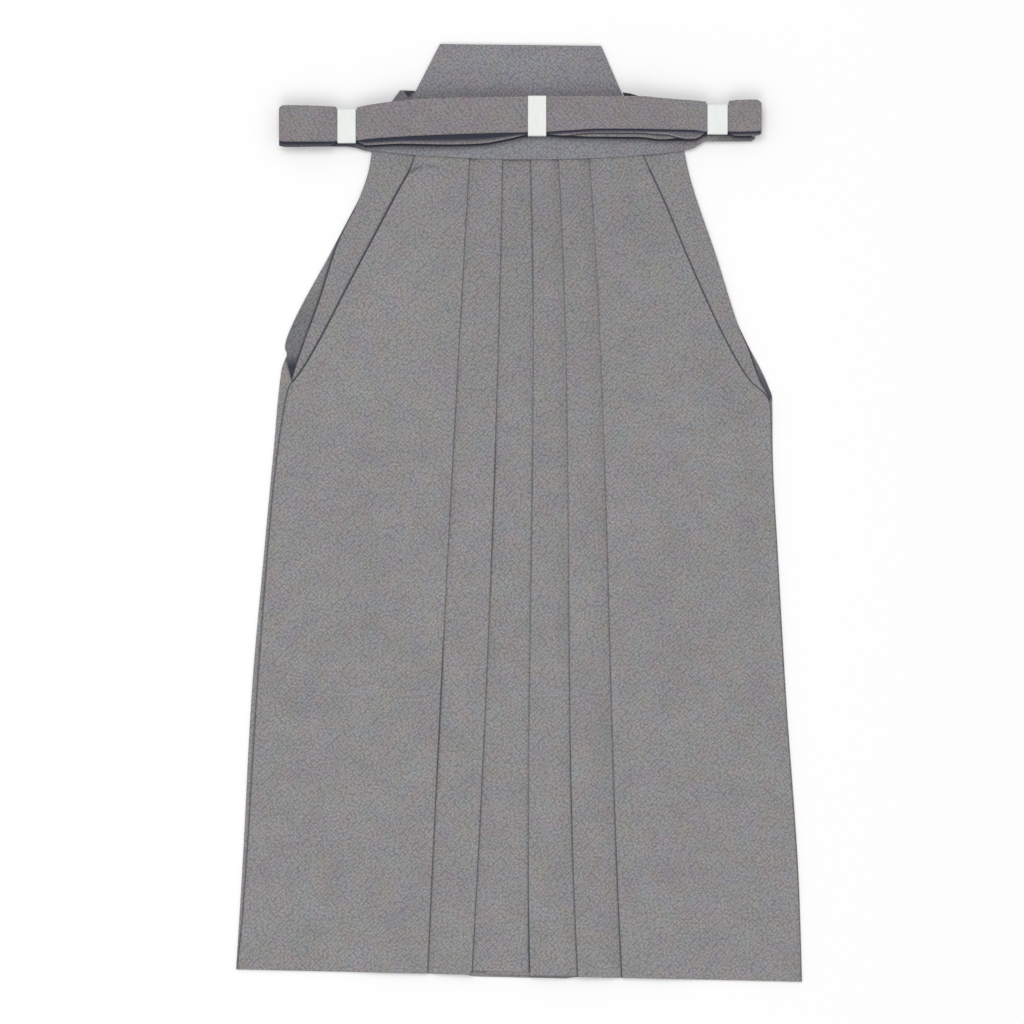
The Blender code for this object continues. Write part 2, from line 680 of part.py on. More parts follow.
def build_front_ties(finish: bpy.types.Material) -> None:
    """Both front ties: they leave the waistband's ends and are folded to and fro across the waist."""
    low_turn = turn_middle(RIGHT_TURN_LOW, 0, 1)
    inner_turn = turn_middle(LEFT_TURN_INNER, 1, 2)
    second_turn = turn_middle(RIGHT_TURN_LOW, 2, 3)
    right_runs = [tie_run(0, WAISTBAND_X[0] - GAP, low_turn, -1),
                  tie_run(1, low_turn, inner_turn, -1),
                  tie_run(2, inner_turn, second_turn, -1),
                  tie_run(3, second_turn, RIGHT_TIE_END, -1)]
    outer_turn = turn_middle(LEFT_TURN_OUTER, 0, 4)
    high_turn = turn_middle(RIGHT_TURN_HIGH, 4, 5)
    top_turn = turn_middle(LEFT_TURN_HIGH, 5, 6)
    left_runs = [tie_run(0, WAISTBAND_X[1] + GAP, outer_turn, 1),
                 tie_run(4, outer_turn, high_turn, 1),
                 tie_run(5, high_turn, top_turn, 1),
                 tie_run(6, top_turn, RIGHT_TURN_HIGH, 1)]
    for name, runs in (("front_tie_right", right_runs), ("front_tie_left", left_runs)):
        places = list(runs[0])
        for before, after in zip(runs, runs[1:]):
            faces = 1 if before[-1][0] > 0.0 else -1
            places += tie_turn(before[-1], after[0], faces)
            places += after
        add_tie(name, places, finish)


def back_tie_place(side: int, x: float, z: float) -> tuple:
    """A place of a back tie, as (x, z, lower, upper)."""
    low = BACK_TIE_LOWER[side](x)
    return x, z, low, low + TIE_WIDTH


def build_back_ties(finish: bpy.types.Material) -> None:
    """Both back ties: they leave the board's sides and are folded once under the front ties."""
    for side, name in ((-1, "back_tie_right"), (1, "back_tie_left")):
        low_rise = BACK_TIE_INNER_RISE[side]
        inner = board_side(low_rise, side) + side * 2.0 * GAP
        slant = board_side(low_rise + TIE_WIDTH, side) - board_side(low_rise, side)
        fold = side * (BACK_TIE_TURN - TIE_PITCH / 2 - TIE / 2)
        home = side * BACK_TIE_RETURN[side]
        out_run = [back_tie_place(side, lerp(inner, fold, k / BACK_TIE_OUT_PARTS), BACK_TIE_Z)
                   for k in range(BACK_TIE_OUT_PARTS + 1)]
        home_run = [back_tie_place(side, lerp(fold, home, k / BACK_TIE_HOME_PARTS), BACK_TIE_Z + TIE_PITCH)
                    for k in range(BACK_TIE_HOME_PARTS + 1)]
        add_tie(name, out_run + tie_turn(out_run[-1], home_run[0], side) + home_run, finish, slant)


def band_profile(half_y: float, half_z: float) -> list:
    """Points round a rectangle with rounded corners, about its middle, in Y and Z."""
    corners = ((1, 1), (-1, 1), (-1, -1), (1, -1))
    points = []
    for quarter, (side_y, side_z) in enumerate(corners):
        for k in range(BAND_CORNER_STEPS + 1):
            angle = math.pi / 2 * (quarter + k / BAND_CORNER_STEPS)
            points.append((side_y * (half_y - BAND_CORNER) + BAND_CORNER * math.cos(angle),
                           side_z * (half_z - BAND_CORNER) + BAND_CORNER * math.sin(angle)))
    return points


def build_papers(finish: bpy.types.Material) -> None:
    """The three plain bands that hold the folded runs together."""
    for band in PAPERS:
        samples = [band.across + band.half_width * share for share in (-1.0, -0.5, 0.0, 0.5, 1.0)]
        levels = tuple(RUN_SAG)
        low = min(run_edges(level, x, 1)[0] for level in levels for x in samples)
        high = max(run_edges(level, x, 1)[1] for level in levels for x in samples)
        bottom = run_height(min(levels), band.across) - TIE / 2
        top = run_height(max(levels), band.across) + TIE / 2
        reach = GAP + BAND_WALL / 2
        profile = band_profile((high - low) / 2 + reach, (top - bottom) / 2 + reach)
        bm = bmesh.new()
        bmesh.ops.create_cone(bm, segments=len(profile), radius1=1.0, radius2=1.0, depth=2.0)
        for vert in bm.verts:
            turn = math.atan2(vert.co.y, vert.co.x) / (2.0 * math.pi)
            y, z = profile[round(turn * len(profile)) % len(profile)]
            x = band.across + math.copysign(band.half_width, vert.co.z)
            vert.co = (x, WAIST_Y + (low + high) / 2 + y, (bottom + top) / 2 + z)
        bmesh.ops.recalc_face_normals(bm, faces=bm.faces[:])
        thicken(add_object(band.name, bm, finish), BAND_WALL)


def main() -> None:
    """Build every piece of the trousers."""
    for old in list(bpy.data.objects):
        bpy.data.objects.remove(old, do_unlink=True)
    build_fronts(material("front_cloth", (0.258, 0.251, 0.255), 0.92))
    build_backs(material("back_cloth", (0.250, 0.243, 0.248), 0.92))
    build_leaves(material("leaf_cloth", (0.245, 0.238, 0.243), 0.92))
    build_board(material("board_cloth", (0.229, 0.224, 0.240), 0.90))
    build_waistband(material("waistband_cloth", (0.215, 0.213, 0.228), 0.92))
    build_front_ties(material("tie_cloth", (0.235, 0.224, 0.233), 0.90))
    build_back_ties(material("back_tie_cloth", (0.225, 0.218, 0.225), 0.90))
    build_papers(material("band_paper", (0.850, 0.868, 0.850), 0.60))


main()
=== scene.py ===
"""Looks of the hakama trousers: cloth, pressed pleats, folded ties and white bands, lying on a pale floor.

Frame: +Y points to the waist, +X to the viewer's right and +Z up from the floor, in metres.
Every sheet of cloth follows the folded section of its solid, more finely, with its soft creases added.
"""

import logging
import math
from dataclasses import dataclass
from enum import Enum
from typing import Callable, NamedTuple

import bmesh
import bpy
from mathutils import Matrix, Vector

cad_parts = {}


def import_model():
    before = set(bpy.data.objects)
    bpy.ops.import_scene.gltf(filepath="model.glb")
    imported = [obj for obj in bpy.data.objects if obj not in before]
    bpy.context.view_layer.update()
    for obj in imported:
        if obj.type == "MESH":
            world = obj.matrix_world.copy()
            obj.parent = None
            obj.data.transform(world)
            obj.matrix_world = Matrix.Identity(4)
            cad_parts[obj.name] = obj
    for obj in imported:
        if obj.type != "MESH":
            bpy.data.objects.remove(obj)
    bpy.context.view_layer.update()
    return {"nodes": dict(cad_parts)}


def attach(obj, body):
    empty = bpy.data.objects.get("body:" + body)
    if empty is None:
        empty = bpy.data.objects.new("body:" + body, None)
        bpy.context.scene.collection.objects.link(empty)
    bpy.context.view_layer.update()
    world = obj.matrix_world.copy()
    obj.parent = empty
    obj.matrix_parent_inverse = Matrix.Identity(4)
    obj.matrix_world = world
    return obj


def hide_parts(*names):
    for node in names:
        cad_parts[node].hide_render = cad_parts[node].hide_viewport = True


LOG = logging.getLogger("hakama")

WAIST_TO_HEM = 0.848
BOARD_TOP_RISE = 0.1206
HALF_HEM = 0.2942
CENTRE_X = 0.0114
HEM_SKEW = 0.0220
WAIST_Y = (WAIST_TO_HEM + HEM_SKEW * HALF_HEM + BOARD_TOP_RISE) / 2 - BOARD_TOP_RISE
SEAM_SAG = 0.0092           # how far the middle of the waist seam hangs below its ends
SEAM_HALF = 0.1610

CLOTH = 0.0010
TIE = 0.0012
GAP = 0.0003
PITCH = CLOTH + GAP
TIE_PITCH = TIE + GAP
TIE_WIDTH = 0.0380
ARC_STEPS = 8
GUARD = 0.0012              # flat stretch kept beside each pressed fold, so that its shading stays crisp


class Side(Enum):
    """The wearer's right or left, as the sign of X."""
    RIGHT = -1
    LEFT = 1


class Hold(Enum):
    """How a sheet of cloth is held."""
    LAID = "laid"
    FOLDED = "folded"
    STRETCHED = "stretched"


class Pleat(NamedTuple):
    """A pressed fold edge of the front: its place at the waist and hem, its bow and the way it faces."""
    at_waist: float
    at_hem: float
    bow: float
    faces: int
    sway: float = 0.0


class EdgeRow(NamedTuple):
    """A place on an outline: its drop below the waist seam and its distance across."""
    drop: float
    across: float


class RunRow(NamedTuple):
    """Heights above the waist seam of the folded ties, at one place across."""
    across: float
    upper: float
    lower: float
    second_lower: float


class TieRow(NamedTuple):
    """Height above the waist seam of a tie's lower edge, at one place across."""
    across: float
    lower: float


class Shadow(NamedTuple):
    """A broad faint shadow on the fronts: its middle, its half sizes across and down, and its strength."""
    across: float
    drop: float
    half_across: float
    half_drop: float
    strength: float


class Crease(NamedTuple):
    """A soft ridge, or a trough where its height is below zero, between two places on the cloth."""
    start: tuple
    end: tuple
    half_width: float
    height: float


class Stroke(NamedTuple):
    """The painted shade of a narrow crease through places on the cloth."""
    points: tuple
    half_width: float
    strength: float


class Place(NamedTuple):
    """A place on a sheet, in metres, and its painted shade in folds and covered places, from 0 to 1."""
    x: float
    y: float
    z: float
    shade: float = 0.0


class Cut(NamedTuple):
    """The flat size of a sheet: greatest width, greatest length and area."""
    width: float
    length: float
    area: float


class BandPlace(NamedTuple):
    """A white band: its place across, its half width and how far it draws in the runs' upper edge."""
    name: str
    across: float
    half_width: float
    draw: float


def lerp(a: float, b: float, share: float) -> float:
    """The value a share of the way from a to b."""
    return a + (b - a) * share


def smoothstep(start: float, end: float, value: float) -> float:
    """0 before start, 1 after end, with a soft rise between them."""
    share = min(max((value - start) / (end - start), 0.0), 1.0)
    return share * share * (3.0 - 2.0 * share)


def fade(start: float, end: float, value: float) -> float:
    """1 before start, 0 after end, with a soft fall between them."""
    return 1.0 - smoothstep(start, end, value)


class Rise(NamedTuple):
    """A shade or a distance that grows softly between two values, up to its strength."""
    strength: float
    start: float
    end: float

    def at(self, value: float) -> float:
        """How much of it there is at a value."""
        return self.strength * smoothstep(self.start, self.end, value)


class Fall(NamedTuple):
    """A shade that dies away softly between two values, from its strength."""
    strength: float
    start: float
    end: float

    def at(self, value: float) -> float:
        """How much of it there is at a value."""
        return self.strength * fade(self.start, self.end, value)


def curve(rows: tuple, column: int) -> Callable[[float], float]:
    """A smooth curve through one column of a table whose first column runs steadily.

    Args:
        rows: the table.
        column: which column the curve passes through.

    Returns:
        A function of the first column's value, which never swings past the table's points.
    """
    ordered = sorted(rows)
    places = [row[0] for row in ordered]
    values = [row[column] for row in ordered]
    spans = [b - a for a, b in zip(places, places[1:])]
    slopes = [(b - a) / span for a, b, span in zip(values, values[1:], spans)]
    tangents = [slopes[0]]
    for before, after in zip(slopes, slopes[1:]):
        same_way = before * after > 0.0
        tangents.append(2.0 * before * after / (before + after) if same_way else 0.0)
    tangents.append(slopes[-1])

    def at(place: float) -> float:
        """The curve's value at a place, held beyond the table's ends.

        Args:
            place: a value of the first column.

        Returns:
            The value there.
        """
        place = min(max(place, places[0]), places[-1])
        i = max(k for k in range(len(spans)) if places[k] <= place)
        t = (place - places[i]) / spans[i]
        bend = t * (1.0 - t) * spans[i]
        lean = tangents[i] * (1.0 - t) - tangents[i + 1] * t
        return lerp(values[i], values[i + 1], smoothstep(0.0, 1.0, t)) + bend * lean
    return at


def dense(rows: tuple, step: float) -> list:
    """The rows with more of them between.

    Args:
        rows: values that run steadily.
        step: the most that two neighbours may lie apart.

    Returns:
        The fuller list.
    """
    made = [rows[0]]
    for a, b in zip(rows, rows[1:]):
        parts = max(1, math.ceil(abs(b - a) / step))
        made += [lerp(a, b, k / parts) for k in range(1, parts + 1)]
    return made


class Nodes:
    """The nodes of one material, each joined to the others as it is added."""

    def __init__(self, name: str, **facts: object) -> None:
        """Start a material.

        Args:
            name: the material's name.
            facts: values of the shader's own inputs, with _ for a space.
        """
        self.material = bpy.data.materials.new(name)
        self.material.use_nodes = True
        self.tree = self.material.node_tree
        self.shader = self.tree.nodes["Principled BSDF"]
        self.feed(self.shader, {fact.replace("_", " "): value for fact, value in facts.items()})

    def feed(self, node: bpy.types.Node, inputs: dict) -> None:
        """Set a node's inputs.

        Args:
            node: the node.
            inputs: each input's value, or the socket that feeds it, by the input's name.
        """
        for name, value in inputs.items():
            if isinstance(value, bpy.types.NodeSocket):
                self.tree.links.new(value, node.inputs[name])
            else:
                node.inputs[name].default_value = value

    def add(self, kind: str, inputs: dict, **choices: object) -> bpy.types.NodeOutputs:
        """Add a node.

        Args:
            kind: what kind of shader node it is.
            inputs: each input's value, or the socket that feeds it, by the input's name.
            choices: the node's other settings.

        Returns:
            The node's outputs.
        """
        node = self.tree.nodes.new("ShaderNode" + kind)
        for choice, value in choices.items():
            setattr(node, choice, value)
        self.feed(node, inputs)
        return node.outputs

    def noise(self, place: bpy.types.NodeSocket, scale: float, detail: float,
              roughness: float = 0.5) -> bpy.types.NodeOutputs:
        """A noise pattern, with so many blobs to a metre."""
        return self.add("TexNoise", {"Vector": place, "Scale": scale, "Detail": detail,
                                     "Roughness": roughness})

    def ramp(self, fac: bpy.types.NodeSocket, ends: tuple, span: tuple) -> bpy.types.NodeSocket:
        """Colours by a pattern.

        Args:
            fac: the pattern.
            ends: the two colours.
            span: values of the pattern that have them.

        Returns:
            The colour.
        """
        node = self.tree.nodes.new("ShaderNodeValToRGB")
        for element, position, colour in zip(node.color_ramp.elements, span, ends):
            element.position = position
            element.color = (*colour, 1.0)
        self.feed(node, {"Fac": fac})
        return node.outputs["Color"]

    def tinted(self, colour: bpy.types.NodeSocket, fac: bpy.types.NodeSocket, tints: tuple,
               strength: float) -> bpy.types.NodeSocket:
        """The colour with faint patches of two tints, placed by a pattern and used in part."""
        return self.add("Mix", {"Factor": strength, "A": colour, "B": self.ramp(fac, tints, (0.35, 0.65))},
                        data_type="RGBA", blend_type="MULTIPLY")["Result"]

    def shaded(self, colour: object, fac: bpy.types.NodeSocket, amount: float,
               span: tuple) -> bpy.types.NodeSocket:
        """The colour made lighter and darker by a pattern.

        Args:
            colour: the colour before, or the socket that gives it.
            fac: the pattern.
            amount: half the span of the change, as a share of the colour.
            span: values of the pattern that are darkest and lightest.

        Returns:
            The colour after.
        """
        level = self.add("MapRange", {"Value": fac, "From Min": span[0], "From Max": span[1],
                                      "To Min": 1.0 - amount, "To Max": 1.0 + amount})["Result"]
        return self.add("VectorMath", {"Vector": colour, "Scale": level}, operation="SCALE")["Vector"]

    def finished(self, colour: bpy.types.NodeSocket, height: bpy.types.NodeSocket, strength: float,
                 distance: float) -> bpy.types.Material:
        """Join a colour and a bump to the shader.

        Args:
            colour: the colour.
            height: the pattern of the bump.
            strength: how strongly the bump shows.
            distance: its height in metres.

        Returns:
            The material.
        """
        bump = self.add("Bump", {"Strength": strength, "Distance": distance, "Height": height})
        self.feed(self.shader, {"Base Color": colour, "Normal": bump["Normal"]})
        return self.material


@dataclass(frozen=True)
class ClothFinish:
    """Heathered wool-like twill, matt and pressed.

    Its pattern follows the cloth's own map, which is in metres.
    """
    name: str
    colour: tuple
    deep: tuple = (0.028, 0.031, 0.050, 1.0)    # colour of the painted shade in folds, crevices and covered places
    speckle: float = 0.24           # share by which the fine speckle lightens and darkens
    dots: float = 0.20              # share by which the dots of the weave do
    dot_pitch: float = 0.0032
    dot_turn: float = 45.0          # degrees by which the rows of dots are turned
    dot_spread: float = 0.60        # how far the dots stray from their rows
    mottle: float = 0.045           # share by which the small patches do
    wave: float = 0.050             # share by which the broad patches do
    tints: tuple = (((1.07, 1.0, 0.93), (0.93, 1.0, 1.07)), ((0.98, 1.03, 0.98), (1.02, 0.97, 1.02)))
    brown_blue: float = 0.64        # strength of the faint brown and blue patches
    green_pink: float = 0.95        # strength of the faint green and pink patches
    roughness: float = 0.9
    paints_shade: bool = True        # whether the painted shade of folds and covered places is applied

    def make(self) -> bpy.types.Material:
        """Build the material's nodes.

        Returns:
            The material.
        """
        nodes = Nodes(self.name, Roughness=self.roughness, Specular_IOR_Level=0.2, Sheen_Weight=0.06,
                      Sheen_Roughness=0.5)
        place = nodes.add("UVMap", {}, uv_map="cloth")["UV"]
        speckle = nodes.noise(place, 520.0, 2.0, 0.6)["Fac"]
        patches = nodes.add("SeparateColor", {"Color": nodes.noise(place, 46.0, 3.0, 0.68)["Color"]})
        broad = nodes.noise(place, 14.0, 2.0)["Fac"]
        turned = nodes.add("Mapping", {"Vector": place, "Rotation": (0.0, 0.0, math.radians(self.dot_turn)),
                                       "Scale": (1.16, 0.92, 1.0)}, vector_type="TEXTURE")["Vector"]
        weave = nodes.add("TexVoronoi", {"Vector": turned, "Scale": 1.0 / self.dot_pitch,
                                         "Randomness": self.dot_spread}, voronoi_dimensions="2D")["Distance"]
        colour = nodes.shaded(self.colour, speckle, self.speckle, (0.3, 0.7))
        colour = nodes.tinted(colour, patches["Red"], self.tints[0], self.brown_blue)
        colour = nodes.tinted(colour, patches["Green"], self.tints[1], self.green_pink)
        colour = nodes.shaded(colour, patches["Blue"], self.mottle, (0.35, 0.65))
        colour = nodes.shaded(colour, broad, self.wave, (0.25, 0.75))
        colour = nodes.shaded(colour, weave, self.dots, (0.65, 0.05))
        # Painted shade: each point's shade value mixes the colour towards the shade colour, standing for
        # shadow in folds and under other layers
        if self.paints_shade:
            depth = nodes.add("Attribute", {}, attribute_name="shade")["Fac"]
            folded = nodes.add("Mix", {"Factor": depth, "A": colour, "B": self.deep}, data_type="RGBA")
            colour = folded["Result"]
        height = nodes.add("Math", {0: speckle, 1: weave}, operation="SUBTRACT")["Value"]
        return nodes.finished(colour, height, 0.35, 0.0002)


@dataclass(frozen=True)
class BandFinish:
    """Plain white tape, smooth, with faint flecks along its length."""
    name: str = "white_tape"
    colour: tuple = (0.82, 0.855, 0.825)
    fleck: float = 0.94             # brightness of the flecks, as a share of the tape's
    roughness: float = 0.6

    def make(self) -> bpy.types.Material:
        """Build the material's nodes.

        Returns:
            The material.
        """
        nodes = Nodes(self.name, Roughness=self.roughness, Specular_IOR_Level=0.3)
        place = nodes.add("TexCoord", {})["Object"]
        along = nodes.add("Mapping", {"Vector": place, "Scale": (1.0, 0.2, 1.0)})["Vector"]
        fibres = nodes.noise(along, 420.0, 3.0)["Fac"]
        flecks = tuple(share * self.fleck for share in self.colour)
        return nodes.finished(nodes.ramp(fibres, (flecks, self.colour), (0.3, 0.7)), fibres, 0.2, 0.0001)


@dataclass(frozen=True)
class FloorFinish:
    """Plain pale floor."""
    name: str = "pale_floor"
    colour: tuple = (0.97, 0.97, 0.97, 1.0)
    roughness: float = 0.95

    def make(self) -> bpy.types.Material:
        """Build the material."""
        return Nodes(self.name, Base_Color=self.colour, Roughness=self.roughness,
                     Specular_IOR_Level=0.0).material


@dataclass(frozen=True)
class Pattern:
    """Outlines, pleat lines and the lie of the trousers, as the solids have them."""
    pleat_depth_top: float = 0.0160
    pleat_depth_hem: float = 0.0300
    fold_clearance: float = 0.0015
    side_slope: float = 0.0600
    slope_share: float = 0.9
    front_top: float = -0.0250
    seam_fade: float = 0.2500
    sway_middle: float = 0.59       # share of the length at which a swaying pleat is back on its line
    edge_tries: int = 6
    back_fold_top: float = 0.0250
    back_fold_hem: float = 0.0450
    leaf_overlap: float = 0.0300
    leaf_top: float = -0.0100
    ramp: float = 0.0500
    ramp_clearance: float = 0.0080
    vent_fade: tuple = (0.0030, 0.0450)
    back_top: float = GAP - 0.0400

    @staticmethod
    def seam(x: float) -> float:
        """Drop of the waist seam below its middle, less than zero, at one place across."""
        return -SEAM_SAG * ((x - CENTRE_X) / SEAM_HALF) ** 2

    def drop_at(self, row: float, x: float) -> float:
        """Real drop below the waist seam of a cross row, at one place across."""
        near_seam = fade(0.0, self.seam_fade, row) if row > 0.0 else 1.0 - row / self.back_top
        return row + self.seam(x) * near_seam + HEM_SKEW * x * self.length_share(row)

    @staticmethod
    def length_share(row: float) -> float:
        """How far down the cloth a row lies, from 0 at the waist seam to 1 at the hem."""
        return min(max(row / WAIST_TO_HEM, 0.0), 1.0)

    def across_on(self, edge: Callable[[float], float], row: float) -> float:
        """Where a cross row meets an edge curve, found by stepping to and fro a few times.

        Args:
            edge: the edge's place across, by drop.
            row: the cross row.

        Returns:
            The place across.
        """
        x = edge(row)
        for _ in range(self.edge_tries):
            x = edge(self.drop_at(row, x))
        return x

    def front_edge(self, side: int, row: float) -> float:
        """Place across of a front's side edge on a row."""
        return self.across_on(FRONT_EDGE[side], row)

    def pleat_x(self, pleat: Pleat, row: float) -> float:
        """Place across of a pleat's fold edge.

        Args:
            pleat: the pleat.
            row: the cross row.

        Returns:
            The place across.
        """
        share = self.length_share(row)
        bent = 4.0 * pleat.bow + pleat.sway * (self.sway_middle - share)
        return lerp(pleat.at_waist, pleat.at_hem, share) + bent * share * (1.0 - share)

    def folds(self, row: float) -> list:
        """Places across of all the pleats' fold edges on a row."""
        return [self.pleat_x(pleat, row) for pleat in PLEATS]

    def pleat_depth(self, row: float) -> float:
        """Hidden depth of a front pleat on a row."""
        return lerp(self.pleat_depth_top, self.pleat_depth_hem, self.length_share(row))

    def back_reach(self, row: float) -> float:
        """How far the back pleats reach from the centre line on a row."""
        return lerp(self.back_fold_top, self.back_fold_hem, self.length_share(row))

    def underlay(self, x: float, row: float) -> float:
        """Height of the hidden stack that the front lies on: the back's layers and the leaf pleats.

        Args:
            x: place across.
            row: the cross row.

        Returns:
            The height above the floor.
        """
        start = self.back_reach(row) + self.ramp_clearance
        near_centre = fade(start, start + self.ramp, abs(x - CENTRE_X))
        side = side_of(x)
        inward = abs(self.front_edge(side, row) - x)
        over_leaf = fade(self.leaf_overlap + self.fold_clearance, self.leaf_overlap + self.ramp, inward)
        above_vent_end = fade(*self.vent_fade, row - VENT_END[side])
        return PITCH * (1.0 + 2.0 * near_centre + over_leaf * above_vent_end)


def side_of(x: float) -> int:
    """Which leg a place lies on, as the sign of its side."""
    return -1 if x < CENTRE_X else 1


def table(kind: type, *rows: tuple) -> tuple:
    """Rows of bare numbers as rows of named values."""
    return tuple(kind(*row) for row in rows)


PLEATS = (
    Pleat(at_waist=-0.0515, at_hem=-0.0954, bow=-0.0014, faces=1),
    Pleat(at_waist=-0.0172, at_hem=-0.0493, bow=0.0040, faces=1),
    Pleat(at_waist=0.0123, at_hem=0.0115, bow=0.0, faces=-1, sway=0.048),
    Pleat(at_waist=0.0411, at_hem=0.0615, bow=-0.0007, faces=-1, sway=0.056),
    Pleat(at_waist=0.0733, at_hem=0.1074, bow=0.0013, faces=-1, sway=0.042),
)
# Strength of the painted shade line beside each pleat's fold, by drop below the waist seam
PLEAT_LINES = tuple(curve(rows, 1) for rows in (
    ((0.0, 0.22), (0.177, 0.22), (0.250, 0.32), (0.322, 0.32), (0.420, 0.18), (0.470, 0.22),
     (0.541, 0.72), (0.614, 0.66), (0.686, 0.52), (WAIST_TO_HEM, 0.50)),
    ((0.0, 0.20), (0.250, 0.25), (0.330, 0.60), (0.395, 0.56), (0.468, 0.30), (0.614, 0.34),
     (0.686, 0.48), (0.759, 0.42), (WAIST_TO_HEM, 0.58)),
    ((0.0, 0.40), (0.100, 0.50), (0.177, 0.20), (0.250, 0.22), (0.322, 0.42), (0.450, 0.34),
     (0.614, 0.28), (0.759, 0.52), (0.822, 0.85), (WAIST_TO_HEM, 0.85)),
    ((0.0, 0.28), (0.100, 0.28), (0.177, 0.15), (0.250, 0.20), (0.395, 0.28), (0.541, 0.44),
     (0.686, 0.66), (0.759, 0.48), (WAIST_TO_HEM, 0.66)),
    ((0.0, 0.25), (0.100, 0.17), (0.250, 0.14), (0.322, 0.28), (0.468, 0.34), (0.541, 0.44),
     (0.614, 0.38), (0.686, 0.55), (WAIST_TO_HEM, 0.72)),
))
FRONT_RIGHT_EDGE = table(
    EdgeRow,
    (-0.040, -0.0960), (-0.005, -0.1077), (0.009, -0.1124), (0.031, -0.1245), (0.119, -0.1712),
    (0.209, -0.2192), (0.223, -0.2285), (0.236, -0.2385), (0.250, -0.2422), (0.339, -0.2548),
    (0.547, -0.2716), (0.784, -0.2870), (0.860, -0.2950),
)
FRONT_LEFT_EDGE = table(
    EdgeRow,
    (-0.040, 0.1140), (-0.004, 0.1289), (0.010, 0.1352), (0.036, 0.1474), (0.119, 0.1826), (0.194, 0.2180),
    (0.230, 0.2402), (0.246, 0.2575), (0.256, 0.2612), (0.303, 0.2627), (0.409, 0.2681), (0.557, 0.2766),
    (0.757, 0.2902), (0.860, 0.2938),
)
BACK_RIGHT_EDGE = table(
    EdgeRow,
    (-0.041, -0.1230), (0.095, -0.1951), (0.178, -0.2387), (0.189, -0.2425), (0.1955, -0.2434),
    (0.2018, -0.2414), (0.2101, -0.2444), (0.2184, -0.2470), (0.303, -0.2553), (0.409, -0.2652),
    (0.557, -0.2781), (0.728, -0.2872), (0.860, -0.2953),
)
BACK_LEFT_EDGE = table(
    EdgeRow,
    (-0.041, 0.1188), (0.173, 0.2284), (0.197, 0.2402), (0.218, 0.2514), (0.235, 0.2590), (0.248, 0.2632),
    (0.303, 0.2637), (0.409, 0.2691), (0.557, 0.2776), (0.757, 0.2912), (0.860, 0.2944),
)
RIGHT_LEAF_EDGE = table(
    EdgeRow,
    (-0.022, -0.1512), (0.010, -0.1561), (0.043, -0.1674), (0.085, -0.1876), (0.148, -0.2080),
    (0.189, -0.2230), (0.223, -0.2345), (0.232, -0.2366),
)
LEFT_LEAF_EDGE = table(
    EdgeRow,
    (-0.022, 0.1690), (0.015, 0.1768), (0.035, 0.1826), (0.100, 0.2049), (0.173, 0.2281), (0.195, 0.2377),
    (0.220, 0.2462), (0.234, 0.2524), (0.243, 0.2578), (0.250, 0.2606),
)
FRONT_ROWS = (-0.025, 0.0, 0.015, 0.035, 0.075, 0.119, 0.165, 0.205, 0.224, 0.238, 0.252,
              0.300, 0.380, 0.480, 0.590, 0.710, 0.800, WAIST_TO_HEM)
BACK_ROWS = (GAP - 0.0400, 0.0, 0.060, 0.120, 0.178, 0.196, 0.214, 0.236, 0.252, 0.300, 0.400,
             0.520, 0.650, 0.760, WAIST_TO_HEM)
BUNDLE = table(
    RunRow,
    (-0.2491, 0.0550, 0.0185, 0.0138), (-0.2420, 0.0561, 0.0182, 0.0127), (-0.1960, 0.0549, 0.0182, 0.0134),
    (-0.1883, 0.0543, 0.0187, 0.0182), (-0.1695, 0.0537, 0.0192, 0.0188), (-0.1600, 0.0556, 0.0205, 0.0148),
    (-0.1238, 0.0605, 0.0231, 0.0160), (-0.0718, 0.0636, 0.0254, 0.0152), (-0.0406, 0.0642, 0.0264, 0.0161),
    (-0.0100, 0.0645, 0.0272, 0.0212), (0.0094, 0.0648, 0.0275, 0.0251), (0.0281, 0.0649, 0.0281, 0.0257),
    (0.0530, 0.0651, 0.0297, 0.0236), (0.0842, 0.0652, 0.0314, 0.0234), (0.1258, 0.0653, 0.0313, 0.0231),
    (0.1466, 0.0636, 0.0310, 0.0209), (0.1820, 0.0609, 0.0302, 0.0214), (0.1955, 0.0598, 0.0284, 0.0272),
    (0.2163, 0.0603, 0.0288, 0.0275), (0.2240, 0.0613, 0.0284, 0.0246), (0.2450, 0.0619, 0.0288, 0.0244),
    (0.2517, 0.0608, 0.0292, 0.0250),
)
RIGHT_TIE = table(
    TieRow,
    (-0.1530, 0.0083), (-0.1602, 0.0094), (-0.1706, 0.0125), (-0.1810, 0.0137), (-0.2500, 0.0132),
)
LEFT_TIE = table(
    TieRow,
    (0.1710, 0.0092), (0.1799, 0.0114), (0.1851, 0.0140), (0.1934, 0.0190), (0.2500, 0.0191),
)
RIGHT_BACK_TIE = table(
    TieRow,
    (-0.1282, 0.0330), (-0.1310, 0.0290), (-0.1400, 0.0215), (-0.1540, 0.0178), (-0.1900, 0.0165),
    (-0.2400, 0.0160),
)
LEFT_BACK_TIE = table(
    TieRow,
    (0.1250, 0.0290), (0.1310, 0.0278), (0.1466, 0.0255), (0.1820, 0.0215), (0.2400, 0.0195),
)
BAND_PLACES = table(
    BandPlace,
    ("band_right", -0.1789, 0.0094, 0.0036), ("band_middle", 0.0187, 0.0094, 0.0006),
    ("band_left", 0.2059, 0.0104, 0.0048),
)

